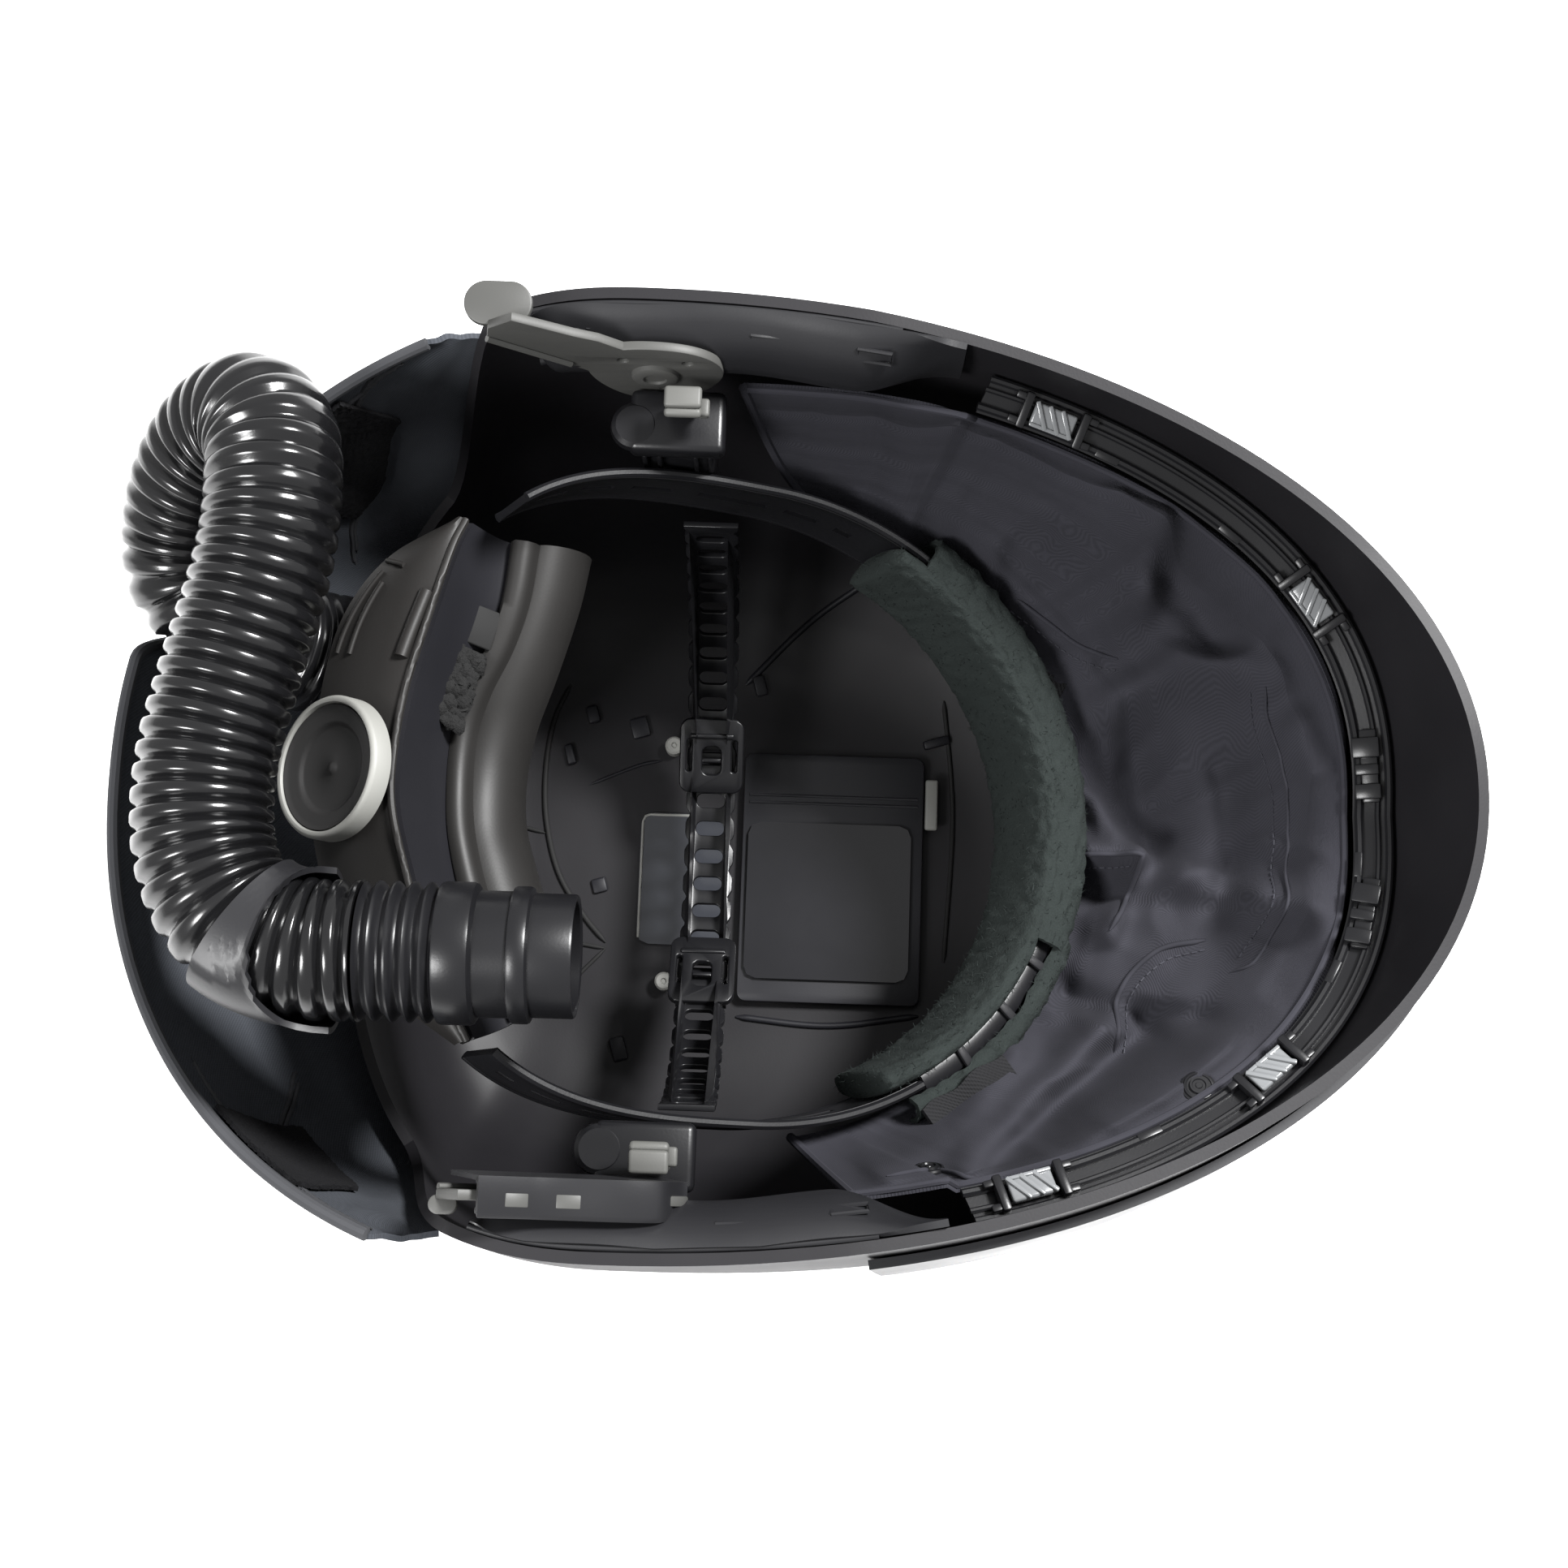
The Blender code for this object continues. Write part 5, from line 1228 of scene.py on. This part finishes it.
# Rear cradle, pad and knob, with their edges read off the photo as (x, y) points

RIDGE = ((-89, 71), (-92, 62), (-97, 41), (-101, 22), (-102.5, 4), (-102, -10), (-98, -26), (-92, -44), (-86, -58),
         (-80, -70))
FLANGE = ((-92, 72), (-110, 61), (-121, 46), (-126, 28), (-128, 4), (-127, -12), (-122, -30), (-113, -46),
          (-100, -60), (-84, -71))
PAD_LEFT = ((-76, 70), (-78, 54), (-82, 41), (-88, 29), (-91.5, 17), (-92, 2), (-90, -14), (-84, -33), (-76, -47),
            (-68, -62))
PAD_RIGHT = ((-60, 71), (-63, 56), (-68.5, 37), (-73.5, 22), (-76, 8), (-75.5, -6), (-72, -18), (-66.5, -33),
             (-61, -46), (-60, -60))


def drawn(points, z, count=90):
    """A smooth line through (x, y) points, at a height or at heights from its start to its middle and end."""
    heights = z if isinstance(z, tuple) else (z, z, z)
    route = [Vector((x, y, float(np.interp(i / (len(points) - 1), (0, 0.5, 1), heights)))) for i,
             (x, y) in enumerate(points)]
    line, _ = smooth_line(route, sum((b - a).length for a, b in zip(route, route[1:])) / (count - 1))
    line = line[:count]
    return line + [line[-1]] * (count - len(line))


def between(low, high, share, rise=0.0):
    return [a.lerp(b, share) + Vector((0, 0, rise)) for a, b in zip(low, high)]


def make_cradle():
    ridge = drawn(RIDGE, (152, 163, 152))
    flange = drawn(FLANGE, (150, 142, 147))
    inner = drawn(PAD_LEFT, (134, 122, 134))
    rows = [between(ridge, flange, s, 2.5 * math.sin(math.pi * s)) for s in (1, 0.98, 0.8, 0.6, 0.4, 0.2, 0.06, 0)]
    down = [r + (r - f).normalized() * 0.8 - Vector((0, 0, 3)) for r, f in zip(ridge, flange)]
    rows.append(down)
    parts = [wall("flange", rows, 2.2, side=-1)]
    parts.append(tube("lip", [p + Vector((0, 0, 0.3)) for p in ridge], [1.1] * len(ridge), 8))
    for low, high, share_low, share_high, radius in (
        (0.13, 0.13, 0.62, 0.95, 0.8), (0.17, 0.30, 0.74, 0.74, 0.8), (0.16, 0.29, 0.12, 0.14, 2.0),
        (0.15, 0.30, 0.86, 0.90, 0.7), (0.70, 0.78, 0.3, 0.3, 1.8), (0.66, 0.82, 0.85, 0.85, 0.7),
    ):
        line = []
        for t in spread(0, 1, 16):
            k = (low + (high - low) * t) * (len(ridge) - 1)
            share = share_low + (share_high - share_low) * t
            i = int(k)
            a, b = ridge[i].lerp(ridge[i + 1], k - i), flange[i].lerp(flange[i + 1], k - i)
            line.append(a.lerp(b, share) + Vector((0, 0, 2.5 * math.sin(math.pi * share) + 0.2)))
        parts.append(tube("ridge", line, [radius] * 16, 10))
    cradle = finished(joined("rear_cradle_flanged", parts), "cradle_plastic", angle=45)
    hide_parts("rear_cradle")
    rows = [between(ridge, inner, s, -2.0 - 5 * math.sin(math.pi * s)) for s in spread(0.01, 1, 14)]
    parts = [wall("basket", rows, 1.8, side=1)]
    for share in (0.30, 0.44, 0.565, 0.68, 0.80):
        k = int(share * (len(ridge) - 1))
        line = [row[k + int(i * 0.25)] + Vector((0, 0, 0.3)) for i, row in enumerate(rows)]
        parts.append(tube("rib", line, [0.7] * len(line), 8))
    finished(joined("rear_cradle_basket", parts), "inner_plastic", "cradle_plastic", 45)
    # the recess is a near-black block: painted shade in the hollow
    dark = [block("recess", (11, 13, 1.2), frame_at(rows[6][16] + Vector((1.5, 0, 0.6)), rows[6][18] - rows[6][14],
                                                    (0.5, 0, 1)), 0.5, 2)]
    finished(joined("rear_cradle_recess", dark), "hollow_black", "cradle_plastic", 45)
    place = rows[7][27] + Vector((0, 0, 1.8))
    foam_at = frame_at(place, rows[7][30] - rows[7][24], (0.5, 0, 1))
    rows = [[foam_at @ Vector((x, y, 1.2 * waves(x, y, 0, scale=0.45) + 0.8 * waves(x, y, 4, scale=1.1)))
             for x in spread(-11, 11, 56)] for y in spread(-6.5, 6.5, 34)]
    foam = finished(wall("nape_foam_open", rows, 2.4, side=1), "foam", angle=80)
    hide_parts("nape_foam")


def make_pad():
    left = drawn(PAD_LEFT, (136, 126, 136))
    right = drawn(PAD_RIGHT, (124, 114, 124))
    profile = ((0.0, -3.0), (0.0, -0.8), (0.03, 0.6), (0.08, 1.2), (0.14, 0.8), (0.19, -0.6), (0.24, -1.2),
               (0.30, -0.8), (0.42, 0.6), (0.56, 1.6),
               (0.70, 1.8), (0.84, 1.0), (0.94, -0.6), (0.985, -2.6), (1.0, -5.0))
    rows = [between(left, right, s, rise) for s, rise in profile]
    pad = finished(wall("rear_pad_rolled", rows, 2.6, side=1), "pad_plastic", "cradle_plastic", 70)
    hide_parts("rear_pad")


def make_knob():
    low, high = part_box("ratchet_knob")
    middle = (Vector(low) + Vector(high)) / 2 / MM
    tilt = math.radians(37)
    down = Vector((-math.cos(tilt), 0, -math.sin(tilt)))
    out = Vector((-math.sin(tilt), 0, math.cos(tilt)))
    at = frame_at(middle - out * 2.6, down, out)
    profile = ((0, 4.9), (1.0, 4.8), (1.6, 4.2), (2.2, 3.9), (11.0, 3.9), (11.6, 4.2), (12.0, 4.9), (12.8, 5.3),
               (15.4, 5.4), (16.2, 5.8), (16.8, 6.3),
               (17.0, 6.0), (17.0, 0.2), (0, 0.2))
    knob = finished(turned("ratchet_knob_dished", profile, at, 96), "knob_plastic", "frame_plastic", 40)
    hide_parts("ratchet_knob")
    profile = ((17.2, 1.2), (17.2, 6.2), (17.5, 6.9), (18.2, 7.1), (18.9, 6.8), (19.3, 6.0), (19.3, 1.2), (17.2, 1.2))
    ring = finished(turned("knob_ring_round", profile, at, 96), "pale_plastic", angle=50)
    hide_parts("knob_ring")


def make_band_split():
    """The bare strip and its three holders, where the fleece is open."""
    angles = spread(-58, -21, 80)
    rows = [[ring_point(a, h, o) for a in angles] for h, o in ((12.2, -3.6), (12.6, -2.6), (12.6, 1.0), (12.2, 1.8))]
    strip = wall("band_strip", rows, 1.4, side=1)
    finished(strip, "band_plastic")
    for i, a in enumerate((-26, -37, -49)):
        at = ring_point(a, 13.6, -0.6)
        along = ring_point(a + 1, 13.6, -0.6) - at
        out = ring_point(a, 13.6, 4) - at
        up = along.cross(out) if along.cross(out).z > 0 else out.cross(along)
        bar = block("bar", (2.6, 9.5, 1.4), frame_at(at, along, up), 0.5, 2)
        leg = block("leg", (2.6, 1.2, 5), frame_at(ring_point(a, 11.5, 3.6), along, (0, 0, 1)), 0.4, 2)
        clip = joined(f"band_clip_{i + 1}_bar", [bar, leg])
        finished(clip, "side_plastic", "band_plastic")
        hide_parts(f"band_clip_{i + 1}")


# Inside of the crown

def make_crown_details():
    shell = bpy.data.objects["helmet_shell_fine"]
    # the groove, rib and front edge lines in near-black are painted shade lines; the other lines are raised plastic
    seams = (
        ("roof_groove_arc", 0.9, "hollow_black", ((-74, 60), (-79, 48), (-81, 32), (-80, 14), (-75, -4), (-66, -18),
                                                  (-58, -27))),
        ("roof_rib_1", 0.7, "hollow_black", ((-93, 12), (-84, 10), (-80, 9))),
        ("roof_rib_2", 0.7, "hollow_black", ((-90, -22), (-76, -26), (-58, -29))),
        ("roof_rib_3", 0.7, "hollow_black", ((-58, -29), (-68, -40), (-76, -52))),
        ("roof_edge_upper", 1.1, "inner_plastic", ((-15, 62), (5, 82), (26, 96))),
        ("roof_edge_lower", 1.1, "inner_plastic", ((-14, -50), (16, -52), (46, -48))),
        ("roof_edge_front", 0.8, "hollow_black", ((52, 58), (56, 20), (54, -30))),
        ("roof_scratch", 0.6, "inner_plastic", ((-66, 26), (-50, 33), (-42, 35))),
    )
    for name, radius, look, route in seams:
        laid_line(name, shell, route, radius, look, "frame_plastic", lift=0.3)
    bumps = []
    for x, y, size in ((-50, 46, (6, 7, 2.4)), (-66, 50, (4, 6, 3)), (-52, -62, (5, 8, 2.6)), (-73, 36, (3, 7, 3)),
                       (-10, 62, (4, 7, 3.5)), (50, 44, (9, 3, 5)),
                       (-61, -8, (5, 5, 1.6))):
        place, facing = drop_on(shell, x, y, 0.6)
        if place is not None:
            bumps.append(block("bump", size, frame_at(place, (1, 0.3, 0), facing), 0.8, 2))
    finished(joined("roof_bumps", bumps), "inner_plastic", "frame_plastic", 45)
    low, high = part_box("roof_panel")
    x0, y0, x1, y1 = low[0] / MM, low[1] / MM, high[0] / MM, high[1] / MM
    z = min(high[2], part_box("front_label_plate")[0][2]) / MM - 0.15
    parts = [flat_plate("panel", rounded((x1 - x0) / 2, (y1 - y0) / 2, 3, 6), 3.0,
                        Matrix.Translation(((x0 + x1) / 2, (y0 + y1) / 2, z - 1.5)), (), 0.6)]
    for share in (0.80, 0.83):
        y = y0 + (y1 - y0) * share
        parts.append(tube("step", [Vector((x0 + 2, y, z)), Vector((x1 - 2, y, z))], [0.5, 0.5], 8))
    panel = finished(joined("roof_panel_stepped", parts), "frame_plastic", angle=40)
    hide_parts("roof_panel")
    bar = block("bar", (4.2, 17, 2.2), Matrix.Translation((48.5, 22, z + 1.2)), 0.8)
    finished(joined("roof_catch", [bar]), "pale_plastic", "frame_plastic", 45)
    low, high = [Vector(v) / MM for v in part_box("rear_label_plate")]
    line = [Vector((low.x + 3, high.y - 0.6, high.z)), Vector((high.x - 1, high.y - 0.6, high.z))]
    edge = [Vector((low.x + 0.6, low.y + 2, high.z)), Vector((low.x + 0.6, high.y - 3, high.z)),
            Vector((low.x + 1.4, high.y - 1.2, high.z)), line[0]]
    border = joined("rear_label_border", [tube("top", line, [0.45] * 2, 8), tube("left", edge, [0.45] * 4, 8)])
    finished(border, "pale_plastic", "label_silver", 45)
    for i, side in enumerate((1, -1)):
        low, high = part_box(f"roof_pin_{i + 1}")
        middle = (Vector(low) + Vector(high)) / 2 / MM
        at = Matrix.Translation((middle.x, middle.y, low[2] / MM))
        pin = turned(f"roof_pin_{i + 1}_slotted", ((0, 4.2), (0.8, 4.2), (1.0, 4.9), (2.4, 5.0), (3.0, 4.4),
                                                   (3.0, 0), (0, 0)), at, 40)
        finished(pin, "pale_plastic", angle=40)
        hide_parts(f"roof_pin_{i + 1}")


# Camera, light and floor

CAMERA_TURN, CAMERA_RISE, CAMERA_FAR, CAMERA_AIM = 2, 79.5, 0.600, Vector((0, 0.005, 0.130))
CAMERA_LENS, CAMERA_SENSOR, CAMERA_NEAR = 49.81, 36, 0.01
LIGHT_AIM, WORLD_LIGHT, FLOOR_GLOW, FLOOR_GREY, FLOOR_REACH = (0, 0, 0.1), 0.66, 0.4, 0.93, 3000


def place_camera():
    """The photo's view, from 2 degrees round and 79.5 degrees up, about 0.6 m off."""
    turn, rise = math.radians(CAMERA_TURN), math.radians(CAMERA_RISE)
    back = Vector((math.sin(turn) * math.cos(rise), -math.cos(turn) * math.cos(rise), math.sin(rise)))
    right = Vector((math.cos(turn), math.sin(turn), 0))
    data = bpy.data.cameras.new("photo_camera")
    data.lens, data.sensor_width, data.clip_start = CAMERA_LENS, CAMERA_SENSOR, CAMERA_NEAR
    camera = linked("photo_camera", data)
    turned_to = Matrix((right, back.cross(right), back)).transposed().to_4x4()
    camera.matrix_world = Matrix.Translation(CAMERA_AIM + back * CAMERA_FAR) @ turned_to
    bpy.context.scene.camera = camera


def light_area(name, place, size, power):
    """A round soft light that looks at the helmet."""
    data = bpy.data.lights.new(name, "AREA")
    data.shape, data.size, data.energy = "DISK", size, power
    lamp = linked(name, data)
    lamp.location = place
    lamp.rotation_euler = (Vector(LIGHT_AIM) - Vector(place)).to_track_quat("-Z", "Y").to_euler()


def make_stage():
    world = bpy.data.worlds.new("studio")
    bpy.context.scene.world = world
    world.use_nodes = True
    sky = world.node_tree.nodes["Background"]
    sky.inputs[0].default_value = (1, 1, 1, 1)
    sky.inputs[1].default_value = WORLD_LIGHT
    bpy.context.scene.view_settings.view_transform = "Standard"
    corners = [(FLOOR_REACH * x, FLOOR_REACH * y, 0) for x, y in ((-1, -1), (1, -1), (1, 1), (-1, 1))]
    floor = from_faces("floor", corners, [(0, 1, 2, 3)])
    g = Graph("floor_white")
    g.put(g.shader, "Base Color", (FLOOR_GREY, FLOOR_GREY, FLOOR_GREY, 1))
    g.put(g.shader, "Roughness", 0.9)
    g.put(g.shader, "Emission Color", (1, 1, 1, 1))
    g.put(g.shader, "Emission Strength", FLOOR_GLOW)
    floor.data.materials.append(g.material)
    light_area("softbox_front", (0.75, 0.55, 1.25), 0.35, 60)
    light_area("softbox_rear", (-0.8, -0.6, 1.2), 0.5, 26)


colour_the_rest()
make_shell()
make_hose()
make_seal()
make_cover()
make_headband()
make_sweatband()
make_rail()
for side in (1, -1):
    make_side_frame(side)
    make_pivot(side)
make_straps()
make_cradle()
make_pad()
make_knob()
make_band_split()
make_crown_details()
place_camera()
make_stage()
